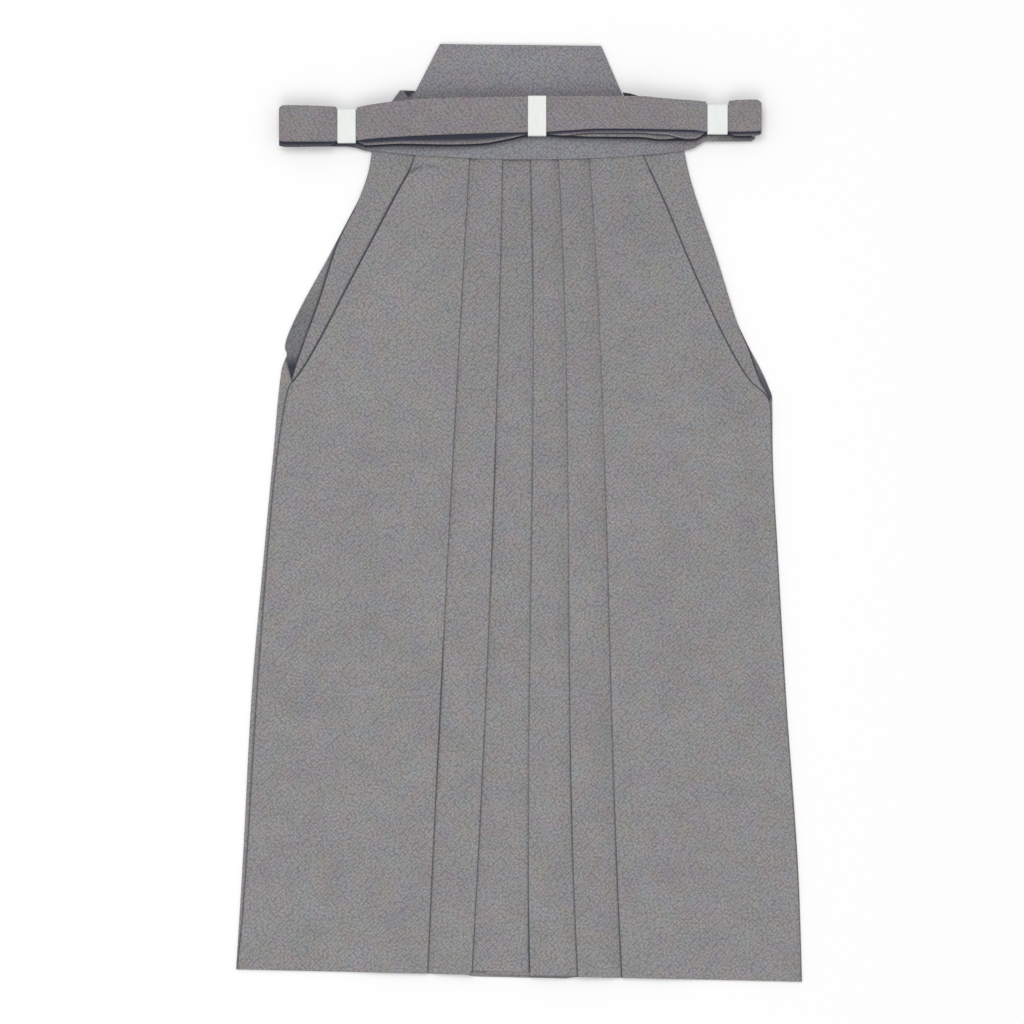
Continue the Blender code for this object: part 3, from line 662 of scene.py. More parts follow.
FRONT_EDGE = {-1: curve(FRONT_RIGHT_EDGE, 1), 1: curve(FRONT_LEFT_EDGE, 1)}
BACK_EDGE = {-1: curve(BACK_RIGHT_EDGE, 1), 1: curve(BACK_LEFT_EDGE, 1)}
LEAF_EDGE = {-1: curve(RIGHT_LEAF_EDGE, 1), 1: curve(LEFT_LEAF_EDGE, 1)}
VENT_END = {-1: RIGHT_LEAF_EDGE[-1].drop, 1: LEFT_LEAF_EDGE[-1].drop}
RUN_UPPER = curve(BUNDLE, 1)
RUN_LOWER = curve(BUNDLE, 2)
RUN_SECOND = curve(BUNDLE, 3)
TIE_LOWER = {-1: curve(RIGHT_TIE, 1), 1: curve(LEFT_TIE, 1)}
BACK_TIE_LOWER = {-1: curve(RIGHT_BACK_TIE, 1), 1: curve(LEFT_BACK_TIE, 1)}
PATTERN = Pattern()

# Soft creases shared by every layer, then those of the fronts alone
GROUND_CREASES = table(
    Crease,
    ((-0.150, 0.050), (-0.215, -0.300), 0.030, 0.0007), ((0.160, 0.120), (0.190, -0.250), 0.036, 0.0006),
    ((-0.060, -0.120), (-0.090, -0.420), 0.028, 0.0005), ((0.075, 0.200), (0.120, -0.050), 0.026, 0.0005),
)
FRONT_CREASES = table(
    Crease,
    ((-0.118, 0.352), (-0.082, 0.358), 0.006, 0.0010), ((-0.238, 0.133), (-0.230, 0.020), 0.012, 0.0022),
    ((0.212, 0.118), (0.238, -0.060), 0.014, 0.0018), ((0.240, -0.080), (0.258, -0.260), 0.016, 0.0014),
    ((0.150, 0.240), (0.190, 0.060), 0.034, 0.0016), ((-0.150, 0.250), (-0.180, 0.080), 0.032, 0.0015),
    ((-0.180, 0.020), (-0.205, -0.330), 0.040, 0.0018), ((0.175, -0.050), (0.200, -0.400), 0.042, 0.0018),
    ((-0.120, -0.150), (-0.150, -0.460), 0.030, 0.0012), ((0.140, -0.200), (0.160, -0.470), 0.028, 0.0010),
)
SHADOWS = table(
    Shadow,
    (0.027, 0.026, 0.130, 0.075, 0.085), (0.010, 0.177, 0.070, 0.110, 0.065),
    (0.141, 0.057, 0.050, 0.060, 0.045), (0.165, 0.187, 0.055, 0.070, 0.045),
    (0.205, 0.236, 0.012, 0.050, 0.040), (0.234, 0.380, 0.014, 0.120, 0.060),
)
# Painted shade of a narrow crease that curves away from the top of the right vent
FRONT_STROKES = (
    Stroke(((-0.1123, 0.3545), (-0.1071, 0.3581), (-0.1020, 0.3596)), 0.0024, 0.50),
    Stroke(((-0.1020, 0.3596), (-0.0970, 0.3602), (-0.0905, 0.3602), (-0.0850, 0.3592)), 0.0026, 0.26),
)


def ridge(crease: Crease, x: float, y: float) -> float:
    """Height that one crease gives the cloth.

    Args:
        crease: the crease.
        x: place across.
        y: place along.

    Returns:
        The height there.
    """
    ax, ay = crease.start
    bx, by = crease.end
    length = math.hypot(bx - ax, by - ay)
    along = ((x - ax) * (bx - ax) + (y - ay) * (by - ay)) / length
    aside = ((x - ax) * (by - ay) - (y - ay) * (bx - ax)) / length
    if abs(aside) > 3.0 * crease.half_width:
        return 0.0
    run_out = max(0.35 * length, crease.half_width)
    inside = smoothstep(-0.5 * run_out, run_out, along) * smoothstep(-0.5 * run_out, run_out, length - along)
    return crease.height * inside * math.exp(-(aside / crease.half_width) ** 2)


def broad_shadow(x: float, drop: float) -> float:
    """How dark the broad shadows make the fronts at a place."""
    return sum(shadow.strength * math.exp(-((x - shadow.across) / shadow.half_across) ** 2
                                          - ((drop - shadow.drop) / shadow.half_drop) ** 2)
               for shadow in SHADOWS)


def ground_lift(x: float, y: float) -> float:
    """Soft lift that all the layers share."""
    low = smoothstep(WAIST_Y - 0.01, WAIST_Y - 0.08, y)
    return low * sum(ridge(crease, x, y) for crease in GROUND_CREASES)


def front_lift(x: float, y: float) -> float:
    """Soft lift of the fronts above what they lie on."""
    low = smoothstep(WAIST_Y - 0.004, WAIST_Y - 0.02, y)
    return low * sum(ridge(crease, x, y) for crease in FRONT_CREASES)


def to_line(x: float, y: float, a: tuple, b: tuple) -> float:
    """Distance of a place from a line.

    Args:
        x: place across.
        y: place along.
        a: one end of the line.
        b: its other end.

    Returns:
        The distance.
    """
    run_x, run_y = b[0] - a[0], b[1] - a[1]
    along = ((x - a[0]) * run_x + (y - a[1]) * run_y) / (run_x * run_x + run_y * run_y)
    along = min(max(along, 0.0), 1.0)
    return math.hypot(x - a[0] - along * run_x, y - a[1] - along * run_y)


def stroked(strokes: tuple, x: float, y: float) -> float:
    """Painted shade of the narrow creases at a place.

    Args:
        strokes: the creases.
        x: place across.
        y: place along.

    Returns:
        The painted shade, from 0 to 1.
    """
    darkest = 0.0
    for stroke in strokes:
        away = min(to_line(x, y, a, b) for a, b in zip(stroke.points, stroke.points[1:]))
        darkest = max(darkest, stroke.strength * fade(0.3 * stroke.half_width, stroke.half_width, away))
    return darkest


class Section:
    """A folded cross section of one sheet: a line of (x, level) places, one cloth layer to a level."""

    def __init__(self, x: float, level: float) -> None:
        """Start the line at a free edge or a seam."""
        self.places = [(x, level)]

    def run(self, x: float, level: float, parts: int, first_steps: tuple = (),
            last_steps: tuple = ()) -> "Section":
        """Go on to a place, easing softly from one level to the next.

        Args:
            x: place across of the end.
            level: level of the end.
            parts: equal parts of the stretch that the steps leave.
            first_steps: distances from the start of extra places.
            last_steps: distances from the end of extra places, the farthest first.

        Returns:
            The section, for the next step.
        """
        start_x, start_level = self.places[-1]
        length = max(abs(x - start_x), 1e-9)
        tight = min(1.0, 0.45 * length / max((*first_steps, *last_steps, 1e-9)))
        shares = [step * tight / length for step in first_steps]
        ends = [1.0 - step * tight / length for step in last_steps]
        low = shares[-1] if shares else 0.0
        high = ends[0] if ends else 1.0
        shares += [lerp(low, high, k / parts) for k in range(1, parts + 1)]
        shares += [*ends[1:], 1.0] if ends else []
        self.places += [(lerp(start_x, x, share), lerp(start_level, level, smoothstep(0.0, 1.0, share)))
                        for share in shares]
        return self

    def turn(self, x: float, level: float, faces: int, parts: int) -> "Section":
        """Run to a pressed fold edge and turn over it to another level.

        Args:
            x: place across of the fold's outer face.
            level: the level after the fold.
            faces: +1 for an edge that looks to +X, else -1.
            parts: parts of the run before the fold.

        Returns:
            The section, for the next step.
        """
        before = self.places[-1][1]
        radius = abs(level - before) * PITCH / 2
        middle_x = x - faces * (radius + CLOTH / 2)
        self.run(middle_x - faces * GUARD, before, parts).run(middle_x, before, 1)
        for k in range(1, ARC_STEPS + 1):
            angle = math.pi * k / ARC_STEPS
            self.places.append((middle_x + faces * radius * math.sin(angle),
                                lerp(before, level, (1.0 - math.cos(angle)) / 2)))
        return self.run(middle_x - faces * GUARD, level, 1)


def running(places: list) -> list:
    """Length along a line of places.

    Args:
        places: the places.

    Returns:
        The length up to each of them.
    """
    total = [0.0]
    for a, b in zip(places, places[1:]):
        total.append(total[-1] + math.dist(a[:3], b[:3]))
    return total


def flat_cut(rows: list) -> Cut:
    """The flat size of a sheet from its rows of places.

    Args:
        rows: rows of places.

    Returns:
        The cut's width along the rows, length down them, and area.
    """
    widths = [running(row)[-1] for row in rows]
    lengths = [running(line)[-1] for line in zip(*rows)]
    steps = [sum(math.dist(p[:3], q[:3]) for p, q in zip(a, b)) / len(a) for a, b in zip(rows, rows[1:])]
    area = sum(step * (a + b) / 2 for step, a, b in zip(steps, widths, widths[1:]))
    return Cut(max(widths), max(lengths), min(area, max(widths) * max(lengths)))


def add_object(bm: bmesh.types.BMesh, name: str, *finishes: bpy.types.Material) -> bpy.types.Object:
    """Make a mesh an object of the scene, at the origin.

    Args:
        bm: the mesh, which is freed.
        name: the object's name.
        finishes: its materials, in order.

    Returns:
        The object.
    """
    mesh = bpy.data.meshes.new(name)
    bm.to_mesh(mesh)
    bm.free()
    for finish in finishes:
        mesh.materials.append(finish)
    made = bpy.data.objects.new(name, mesh)
    bpy.context.scene.collection.objects.link(made)
    return made


@dataclass
class SheetPiece:
    """What every sheet of cloth shares: its grid, wall, soft edges and facts."""
    finish: bpy.types.Material
    slot: str
    held: Hold = Hold.LAID
    rim: float = 0.00028        # rounding of the free edges
    under: bpy.types.Material = None    # finish of the faces that look down, without the painted shade, where it differs

    def loft(self, name: str, rows: list, wall: float) -> bpy.types.Object:
        """A sheet through rows of places, made from a flat grid whose corners move to their places.

        Args:
            name: the piece's name.
            rows: rows of places, all with the same number of places.
            wall: thickness of the cloth.

        Returns:
            The piece, with its wall and rounded edges as modifiers.
        """
        columns = len(rows[0]) - 1
        middle = columns // 2
        bm = bmesh.new()
        bmesh.ops.create_grid(bm, x_segments=columns, y_segments=len(rows) - 1, size=0.5)
        layer = bm.loops.layers.uv.new("cloth")
        # The painted shade of each point, which the cloth's material reads
        depth = bm.verts.layers.float.new("shade")
        across = [running(row) for row in rows]
        down = running([row[middle] for row in rows])
        on_map = {}
        for vert in bm.verts:
            i = round((vert.co.x + 0.5) * columns)
            j = round((0.5 - vert.co.y) * (len(rows) - 1))
            on_map[vert] = (across[j][i] - across[j][middle], down[j])
            vert.co = rows[j][i][:3]
            vert[depth] = rows[j][i].shade
        bm.normal_update()
        for face in bm.faces:
            face.smooth = True
            face.material_index = 1 if self.under is not None and face.normal.z < 0.0 else 0
            for loop in face.loops:
                loop[layer].uv = on_map[loop.vert]
        finishes = (self.finish,) if self.under is None else (self.finish, self.under, self.finish)
        made = add_object(bm, name, *finishes)
        solid = made.modifiers.new("wall", "SOLIDIFY")
        solid.thickness = wall
        solid.offset = 0.0
        solid.use_even_offset = True
        solid.use_quality_normals = True
        solid.material_offset = 0 if self.under is None else 1
        rounding = made.modifiers.new("soft_edges", "BEVEL")
        rounding.width = self.rim
        rounding.segments = 2
        rounding.limit_method = "ANGLE"
        rounding.angle_limit = math.radians(50.0)
        rounding.harden_normals = True
        return made

    def settle(self, piece: bpy.types.Object, node: str, cut: Cut, rests_on: tuple) -> None:
        """Args:
            piece: the finished piece.
            node: the solid that it stands for.
            cut: its flat size.
            rests_on: what it lies on; not used.
        """
        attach(piece, "root")
        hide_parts(node)
        LOG.info("%s: cut %.3f by %.3f m, %.4f square metres", piece.name, cut.width, cut.length, cut.area)


@dataclass
class Panels(SheetPiece):
    """A panel of the trousers on each side, lofted through folded sections."""
    row_step: float = 0.0060
    fine_step: float = 0.0020
    fine_rows: tuple = ((-0.005, 0.040), (0.190, 0.256), (0.835, 0.850))

    # The names of the pieces, of their solids and of what they lie on, with {} for the side, and the main
    # cross rows, as drops below the waist seam
    NAME = ""
    NODE = ""
    RESTS_ON = ()
    ROWS = ()

    def section(self, row: float, side: int) -> Section:
        """The folded section of one side's panel on a row."""
        raise NotImplementedError

    def shade(self, x: float, y: float, row: float, side: int) -> float:
        """Painted shade at a place, from 0 to 1."""
        raise NotImplementedError

    def main_rows(self, side: int) -> tuple:
        """The main cross rows of one side's panel."""
        return self.ROWS

    def height(self, x: float, row: float) -> float:
        """Height of what the panel lies on, which is the floor."""
        return 0.0

    def lift(self, x: float, y: float) -> float:
        """Soft lift of the cloth at a place."""
        return ground_lift(x, y)

    def hem(self, x: float, row: float, level: float, side: int) -> float:
        """How far a place is drawn up at the hem."""
        return 0.0

    def all_rows(self, side: int) -> list:
        """The main rows with more between them, closest where narrow creases cross them.

        Args:
            side: the sign of the panel's side.

        Returns:
            The rows.
        """
        rows = self.main_rows(side)
        made = [rows[0]]
        for row in dense(rows, self.fine_step)[1:]:
            fine = any(low <= row <= high for low, high in self.fine_rows)
            if fine or row in rows or row - made[-1] >= self.row_step - 0.0001:
                made.append(row)
        return made

    def build(self) -> None:
        """Build the panel of each side."""
        for side in Side:
            word, sign = side.name.lower(), side.value
            lofted = []
            for row in self.all_rows(sign):
                line = []
                for x, level in self.section(row, sign).places:
                    y = WAIST_Y - PATTERN.drop_at(row, x) + self.hem(x, row, level, sign)
                    z = self.height(x, row) + CLOTH / 2 + level * PITCH + self.lift(x, y)
                    line.append(Place(x, y, z, self.shade(x, y, row, sign)))
                lofted.append(line)
            made = self.loft(self.NAME.format(word), lofted, CLOTH)
            self.settle(made, self.NODE.format(word), flat_cut(lofted),
                        tuple(name.format(word) for name in self.RESTS_ON))


@dataclass
class Fronts(Panels):
    """Both pleated fronts."""
    line_starts: tuple = (-0.0008, -0.0001)     # the painted shade line beside a pleat's fold edge
    line_full: float = 0.0003
    line_width: float = 0.0014
    line_growth: float = 0.0018     # how much wider the strongest painted shade line is
    # Painted shade along the hem between the third and fourth pleats, and along the fronts' free edges
    hem_edge_shade: Rise = Rise(0.55, WAIST_TO_HEM - 0.0018, WAIST_TO_HEM)
    free_edge: Fall = Fall(0.45, 0.0, 0.0011)
    hem_draw: Rise = Rise(0.0042, 0.60, WAIST_TO_HEM)
    strip_run: tuple = (0.012, 0.004)   # where the drawing up starts and is full, beside the middle strip

    NAME = "front_{}_cloth"
    NODE = "front_{}_leg"
    RESTS_ON = ("back_{}_leg", "leaf_pleat_{}")
    ROWS = FRONT_ROWS

    def section(self, row: float, side: int) -> Section:
        """The folded section of one front on a row."""
        return self.right_section(row) if side < 0 else self.left_section(row)

    @staticmethod
    def right_section(row: float) -> Section:
        """The right front: side panel, two pleats facing the centre, then the hidden strip.

        Args:
            row: the cross row.

        Returns:
            The section.
        """
        clear, depth = PATTERN.fold_clearance, PATTERN.pleat_depth(row)
        edge = PATTERN.front_edge(-1, row)
        first, second, middle = PATTERN.folds(row)[:3]
        slope_end = first - depth - clear
        slope_start = slope_end - min(PATTERN.side_slope, PATTERN.slope_share * (slope_end - edge))
        section = Section(edge, 0.0)
        section.run(slope_start, 0.0, 16, first_steps=(0.0007, 0.0014)).run(slope_end, 2.0, 20)
        for fold, next_fold in ((first, second), (second, None)):
            section.turn(fold, 1.0, 1, 5).turn(fold - depth, 0.0, -1, 3)
            section.run(fold + clear, 0.0, 4, last_steps=(0.0016, 0.0008))
            if next_fold is not None:
                section.run(next_fold - depth - clear, 2.0, 3, first_steps=(0.0007, 0.0016))
        section.run(middle + 0.0002, 0.0, 6, first_steps=(0.0007, 0.0016),
                    last_steps=(0.0052, 0.0036, 0.0025, 0.0016, 0.0009, 0.0004))
        return section.run(middle + depth - clear, 0.0, 3)

    @staticmethod
    def left_section(row: float) -> Section:
        """The left front: hidden centre seam, three pleats facing the centre, side panel.

        Args:
            row: the cross row.

        Returns:
            The section.
        """
        clear, depth = PATTERN.fold_clearance, PATTERN.pleat_depth(row)
        edge = PATTERN.front_edge(1, row)
        folds = PATTERN.folds(row)[2:]
        section = Section(folds[0] + depth - clear, 1.0)
        for fold, next_fold in zip(folds, folds[1:]):
            section.turn(fold, 2.0, -1, 4).run(fold + depth + clear, 2.0, 5)
            section.run(next_fold - clear, 0.0, 4, last_steps=(0.0016, 0.0007))
            section.run(next_fold + 0.0001, 0.0, 2).turn(next_fold + depth, 1.0, 1, 4)
        slope_start = folds[-1] + depth + clear
        slope_end = slope_start + min(PATTERN.side_slope, PATTERN.slope_share * (edge - slope_start))
        section.turn(folds[-1], 2.0, -1, 4).run(slope_start, 2.0, 5).run(slope_end, 0.0, 20)
        return section.run(edge, 0.0, 16, last_steps=(0.0014, 0.0007))

    def height(self, x: float, row: float) -> float:
        """Height of the backs and leaf pleats under the fronts."""
        return PATTERN.underlay(x, row)

    def lift(self, x: float, y: float) -> float:
        """Soft lift of the fronts with all that is under them."""
        return ground_lift(x, y) + front_lift(x, y)

    def shade(self, x: float, y: float, row: float, side: int) -> float:
        """Painted shade at a place: beside each pleat's edge, along the free edges and at the hem, with the
        broad painted shadows.

        Args:
            x: place across.
            y: place along.
            row: its cross row.
            side: the sign of its side; not used.

        Returns:
            The painted shade, from 0 to 1.
        """
        strongest_shade = stroked(FRONT_STROKES, x, y)
        folds = PATTERN.folds(row)
        for pleat, fold, line in zip(PLEATS, folds, PLEAT_LINES):
            away = pleat.faces * (x - fold)
            strength = line(row)
            width = self.line_width + self.line_growth * strength
            beside = smoothstep(*self.line_starts, away) * fade(self.line_full, width, away)
            strongest_shade = max(strongest_shade, strength * beside)
        if folds[2] < x < folds[3]:
            strongest_shade = max(strongest_shade, self.hem_edge_shade.at(row))
        strongest_shade = max(strongest_shade, self.free_edge.at(abs(PATTERN.front_edge(side_of(x), row) - x)))
        return 1.0 - (1.0 - strongest_shade) * (1.0 - broad_shadow(x, WAIST_Y - y))

    def hem(self, x: float, row: float, level: float, side: int) -> float:
        """How far the right front's hidden strip is drawn up at the hem.

        Args:
            x: place across.
            row: its cross row.
            level: its level in the section.
            side: the sign of its side.

        Returns:
            The distance.
        """
        if side > 0 or level >= 0.6:
            return 0.0
        start, full = self.strip_run
        low, high = PATTERN.folds(row)[1:3]
        in_strip = smoothstep(low - start, low - full, x) * fade(high + full, high + start, x)
        return self.hem_draw.strength * in_strip * smoothstep(self.hem_draw.start, self.hem_draw.end, row)


class VentShade(NamedTuple):
    """The painted shade of one side's vent on the back: its width beside the leaf pleat and its fall beside
    the front's edge.
    """
    leaf_width: float
    front: Fall


@dataclass
class Backs(Panels):
    """Both backs, which lie on the floor."""
    edge_strip: float = 0.0180
    past_vent: tuple = (-0.002, 0.001)
    near_leaf: tuple = (-0.0120, -0.0040)
    beside_leaf: float = 0.90       # strength of the painted shade line beside the leaf pleat
    near_front: tuple = (-0.0060, -0.0010)
    right_face: tuple = (0.14, 0.38, 0.95)  # painted shade of a vent's inner face, from its top to its foot
    right_lower: tuple = (0.10, 0.185)
    right_foot: tuple = (0.1990, 0.2160)
    ear_line: tuple = (-0.2424, -0.2362)    # inner side of the small ear at the right vent's foot
    ear_top: float = 0.2101
    ear_length: float = 0.0208
    # Painted shade of the left vent's inner face, from its top to its foot
    left_face: tuple = (0.34, 0.72)
    left_foot: tuple = (0.205, 0.238)
    folded_draw: float = 0.0008     # how far the turned-in cloth is drawn up at the hem
    middle_drop: float = -0.0020
    middle: tuple = (-0.056, -0.046, 0.050, 0.062)

    NAME = "back_{}_cloth"
    NODE = "back_{}_leg"
    ROWS = BACK_ROWS
    VENTS = {-1: VentShade(0.0040, Fall(0.60, 0.0003, 0.0022)),
             1: VentShade(0.0030, Fall(0.25, 0.0003, 0.0022))}

    def section(self, row: float, side: int) -> Section:
        """One back: flat from its side edge to the centre line, then folded out and in again.

        Args:
            row: the cross row.
            side: the sign of its side.

        Returns:
            The section.
        """
        edge = PATTERN.across_on(BACK_EDGE[side], row)
        inner = CENTRE_X + side * GAP / 2
        section = Section(edge, 0.0).run(edge - side * self.edge_strip, 0.0, 18).turn(inner, 1.0, -side, 30)
        return section.turn(CENTRE_X + side * PATTERN.back_reach(row), 2.0, side, 5).run(inner, 2.0, 5)

    def shade(self, x: float, y: float, row: float, side: int) -> float:
        """Painted shade at a place: beside the leaf pleat, on the vent's inner face and beside the front's
        edge.

        Args:
            x: place across.
            y: place along.
            row: its cross row.
            side: the sign of its side.

        Returns:
            The painted shade, from 0 to 1.
        """
        drop = WAIST_Y - y
        beyond_leaf = side * (x - LEAF_EDGE[side](drop))
        beyond_front = side * (x - PATTERN.front_edge(side, row))
        in_vent = fade(*(VENT_END[side] + past for past in self.past_vent), drop)
        near_leaf = smoothstep(*self.near_leaf, beyond_leaf)
        beside_leaf = self.beside_leaf * near_leaf * fade(0.0006, self.VENTS[side].leaf_width, beyond_leaf)
        front = self.VENTS[side].front
        beside_front = front.strength * smoothstep(*self.near_front, beyond_front) * fade(
            front.start, front.end, beyond_front)
        inner_face = lerp(*self.left_face, smoothstep(*self.left_foot, drop))
        if side < 0:
            top, lower, foot = self.right_face
            inner_face = lerp(lerp(top, lower, smoothstep(*self.right_lower, drop)), foot,
                              smoothstep(*self.right_foot, drop))
            ear_line = lerp(*self.ear_line, (drop - self.ear_top) / self.ear_length)
            in_ear = smoothstep(0.2065, 0.2095, drop) * smoothstep(ear_line + 0.0006, ear_line - 0.0004, x)
            inner_face *= 1.0 - in_ear
            beside_leaf *= 1.0 - in_ear
        return lerp(beside_front, max(inner_face * near_leaf, beside_leaf), in_vent)

    def hem(self, x: float, row: float, level: float, side: int) -> float:
        """How far the turned-in cloth is drawn up at the hem, and the rest let down near the centre.

        Args:
            x: place across.
            row: its cross row.
            level: its level in the section.
            side: the sign of its side; not used.

        Returns:
            The distance.
        """
        near_hem = smoothstep(0.60, WAIST_TO_HEM, row)
        if level > 0.9:
            return self.folded_draw * near_hem
        middle = smoothstep(*self.middle[:2], x) * fade(*self.middle[2:], x)
        return self.middle_drop * middle * near_hem


@dataclass
class Leaves(Panels):
    """The leaf pleats that fill the two side vents."""
    row_shares: tuple = (0.0, 0.14, 0.28, 0.42, 0.56, 0.70, 0.84, 0.95, 1.0)
    # Painted shade all over the leaf and along its own outer edge
    all_over: float = 0.06
    own_edge: Fall = Fall(0.5, 0.0, 0.0010)

    NAME = "leaf_{}_cloth"
    NODE = "leaf_pleat_{}"
    RESTS_ON = ("back_{}_leg",)
    # Painted shade line beside the front's edge, by side
    BESIDE_FRONT = {-1: Fall(0.95, 0.0004, 0.0036), 1: Fall(0.90, 0.0004, 0.0024)}

    def main_rows(self, side: int) -> tuple:
        """The main cross rows, from the waist to the end of the vent."""
        return tuple(lerp(PATTERN.leaf_top, VENT_END[side], share) for share in self.row_shares)

    def section(self, row: float, side: int) -> Section:
        """One leaf pleat: from its outer edge to where it is hidden under the front.

        Args:
            row: the cross row.
            side: the sign of its side.

        Returns:
            The section.
        """
        outer = PATTERN.across_on(LEAF_EDGE[side], row)
        front = PATTERN.front_edge(side, row)
        section = Section(outer, 1.0).run(front + side * 0.0003, 1.0, 8, first_steps=(0.0006, 0.0012),
                                          last_steps=(0.0040, 0.0030, 0.0020, 0.0010))
        return section.run(front - side * PATTERN.leaf_overlap, 1.0, 6)

    def shade(self, x: float, y: float, row: float, side: int) -> float:
        """Painted shade at a place: beside the front's edge, along its own edge and faintly all over.

        Args:
            x: place across.
            y: place along.
            row: its cross row.
            side: the sign of its side.

        Returns:
            The painted shade, from 0 to 1.
        """
        line = self.BESIDE_FRONT[side]
        at_top = lerp(0.45, 1.0, smoothstep(0.004, 0.020, row))
        beyond = side * (x - PATTERN.front_edge(side, row))
        beside = line.strength * at_top * fade(line.start, line.end, beyond)
        inward = side * (LEAF_EDGE[side](WAIST_Y - y) - x)
        return max(self.all_over, beside, self.own_edge.at(inward))


@dataclass
class Board:
    """The stiff back board, covered in the cloth."""
    finish: bpy.types.Material
    bottom_rise: float = 0.0400
    thickness: float = 0.0034
    top_x: tuple = (-0.0822, 0.0853)
    bottom_x: tuple = (-0.1238, 0.1196)
    top_fall: float = 0.0020    # how much lower the top edge is at its left end
    cuts: int = 15
    crown: float = 0.0004
    rounding: float = 0.0012

    def side(self, rise: float, end: int) -> float:
        """Place across of a slanted side, 0 the right and 1 the left, at a height above the waist seam."""
        share = (rise - self.bottom_rise) / (BOARD_TOP_RISE - self.bottom_rise)
        return lerp(self.bottom_x[end], self.top_x[end], share)

    def build(self) -> None:
        """Build the board: its crowned upper side, its sides and its lower side."""
        bm = bmesh.new()
        bmesh.ops.create_grid(bm, x_segments=self.cuts * 2, y_segments=self.cuts, size=0.5)
        layer = bm.loops.layers.uv.new("cloth")
        for vert in bm.verts:
            rise = lerp(self.bottom_rise, BOARD_TOP_RISE, vert.co.y + 0.5)
            across = vert.co.x + 0.5
            swell = (1.0 - (2.0 * vert.co.x) ** 4) * (1.0 - (2.0 * vert.co.y) ** 4)
            vert.co.x = lerp(self.side(rise, 0), self.side(rise, 1), across)
            vert.co.y = WAIST_Y + rise - self.top_fall * across * (rise - self.bottom_rise) / (
                BOARD_TOP_RISE - self.bottom_rise)
            vert.co.z = self.thickness - self.crown * (1.0 - swell)
        made = bmesh.ops.extrude_edge_only(bm, edges=[edge for edge in bm.edges if edge.is_boundary])["geom"]
        for vert in (item for item in made if isinstance(item, bmesh.types.BMVert)):
            vert.co.z = 0.0
        low = [item for item in made if isinstance(item, bmesh.types.BMEdge) and item.is_boundary]
        bmesh.ops.contextual_create(bm, geom=low)
        bmesh.ops.recalc_face_normals(bm, faces=bm.faces[:])
        sharp = [edge for edge in bm.edges if len(edge.link_faces) == 2
                 and edge.calc_face_angle() > math.radians(40.0)]
        bmesh.ops.bevel(bm, geom=sharp, offset=self.rounding, segments=4, profile=0.5, material=-1,
                        affect="EDGES")
        for face in bm.faces:
            face.smooth = True
            for loop in face.loops:
                place = loop.vert.co
                loop[layer].uv = (place.x, place.y - place.z)
        LOG.info("board_cover: %d faces", len(bm.faces))
        board = add_object(bm, "board_cover", self.finish)
        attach(board, "root")
        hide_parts("back_board")


class RunPlace(NamedTuple):
    """A place along a tie: across, middle height, lower and upper edge above the waist seam, and its run."""
    x: float
    z: float
    lower: float
    upper: float
    run: float


def run_spread(x: float) -> float:
    """How far the second run of the ties hangs below the top run, at one place across."""
    return RUN_LOWER(x) - RUN_SECOND(x)


def run_sag(level: int, x: float) -> float:
    """How far a folded run hangs from the top run's lower edge towards the second run's.

    Args:
        level: the run, from 1 at the bottom to 6 at the top.
        x: place across.

    Returns:
        The share of the way, from 0 to 1.
    """
    on_right = smoothstep(0.035, 0.075, x) * fade(0.150, 0.175, x)
    sags = {1: 0.6, 2: 0.8, 3: 0.5, 4: lerp(0.75, 1.0, on_right), 5: lerp(1.0, 0.50, on_right), 6: 0.0}
    return sags[level]


def band_pinch(x: float) -> float:
    """How far the bands draw in the upper edge of the folded runs, at one place across."""
    return max(band.draw * fade(band.half_width + 0.0002, band.half_width + 0.0016, abs(x - band.across))
               for band in BAND_PLACES)


@dataclass
class Waistband(SheetPiece):
    """The front waistband, which covers the tops of the pleats."""
    wall: float = 0.0016
    ends: tuple = (-0.1530, 0.1710)
    end_z: float = 0.0028
    end_run: float = 0.0240
    clearance: float = 0.0005
    steps: int = 120
    rows_across: int = 44
    under_ties: Fall = Fall(0.93, 0.0010, 0.0030)       # painted shadows of the folded ties, the dark and the faint
    below_ties: Fall = Fall(0.30, 0.0025, 0.0075)
    # Painted shade along the waist seam and towards the waistband's left end
    at_seam: Fall = Fall(0.25, 0.0, 0.0014)
    at_left_end: Rise = Rise(0.12, 0.150, 0.171)

    def shade(self, x: float, rise: float) -> float:
        """Painted shade on the waistband at a place across and a height: the shadow of the folded ties, a
        line along the waist seam and the left end.
        """
        below = RUN_SECOND(x) - rise
        return max(self.under_ties.at(below), self.below_ties.at(below),
                   self.at_seam.at(rise - PATTERN.seam(x)), self.at_left_end.at(x))

    def underside(self, x: float) -> float:
        """Height of the waistband's lower face: over the pleats in the middle, lower at its ends.

        Args:
            x: place across.

        Returns:
            The height above the floor.
        """
        row = PATTERN.front_top
        folds = PATTERN.folds(row)
        depth, clear = PATTERN.pleat_depth(row), PATTERN.fold_clearance
        left_of = smoothstep(PATTERN.front_edge(-1, row), folds[0] - depth - clear, x)
        right_of = fade(folds[-1] + depth + clear, PATTERN.front_edge(1, row), x)
        cloth_top = PATTERN.underlay(x, row) + CLOTH + 2.0 * PITCH * min(left_of, right_of)
        end = abs(self.ends[0] if x < CENTRE_X else self.ends[1])
        return lerp(cloth_top + self.clearance, self.end_z, smoothstep(end - self.end_run, end, abs(x)))

    def build(self) -> None:
        """Build the waistband."""
        rows = []
        for j in range(self.rows_across + 1):
            row = []
            for k in range(self.steps + 1):
                x = lerp(*self.ends, k / self.steps)
                rise = -PATTERN.drop_at(0.0, x) + TIE_WIDTH * (1.0 - j / self.rows_across)
                row.append(Place(x, WAIST_Y + rise, self.underside(x) + self.wall / 2, self.shade(x, rise)))
            rows.append(row)
        made = self.loft("waistband_cloth", rows, self.wall)
        self.settle(made, "front_waistband", flat_cut(rows), ("front_right_leg", "front_left_leg"))


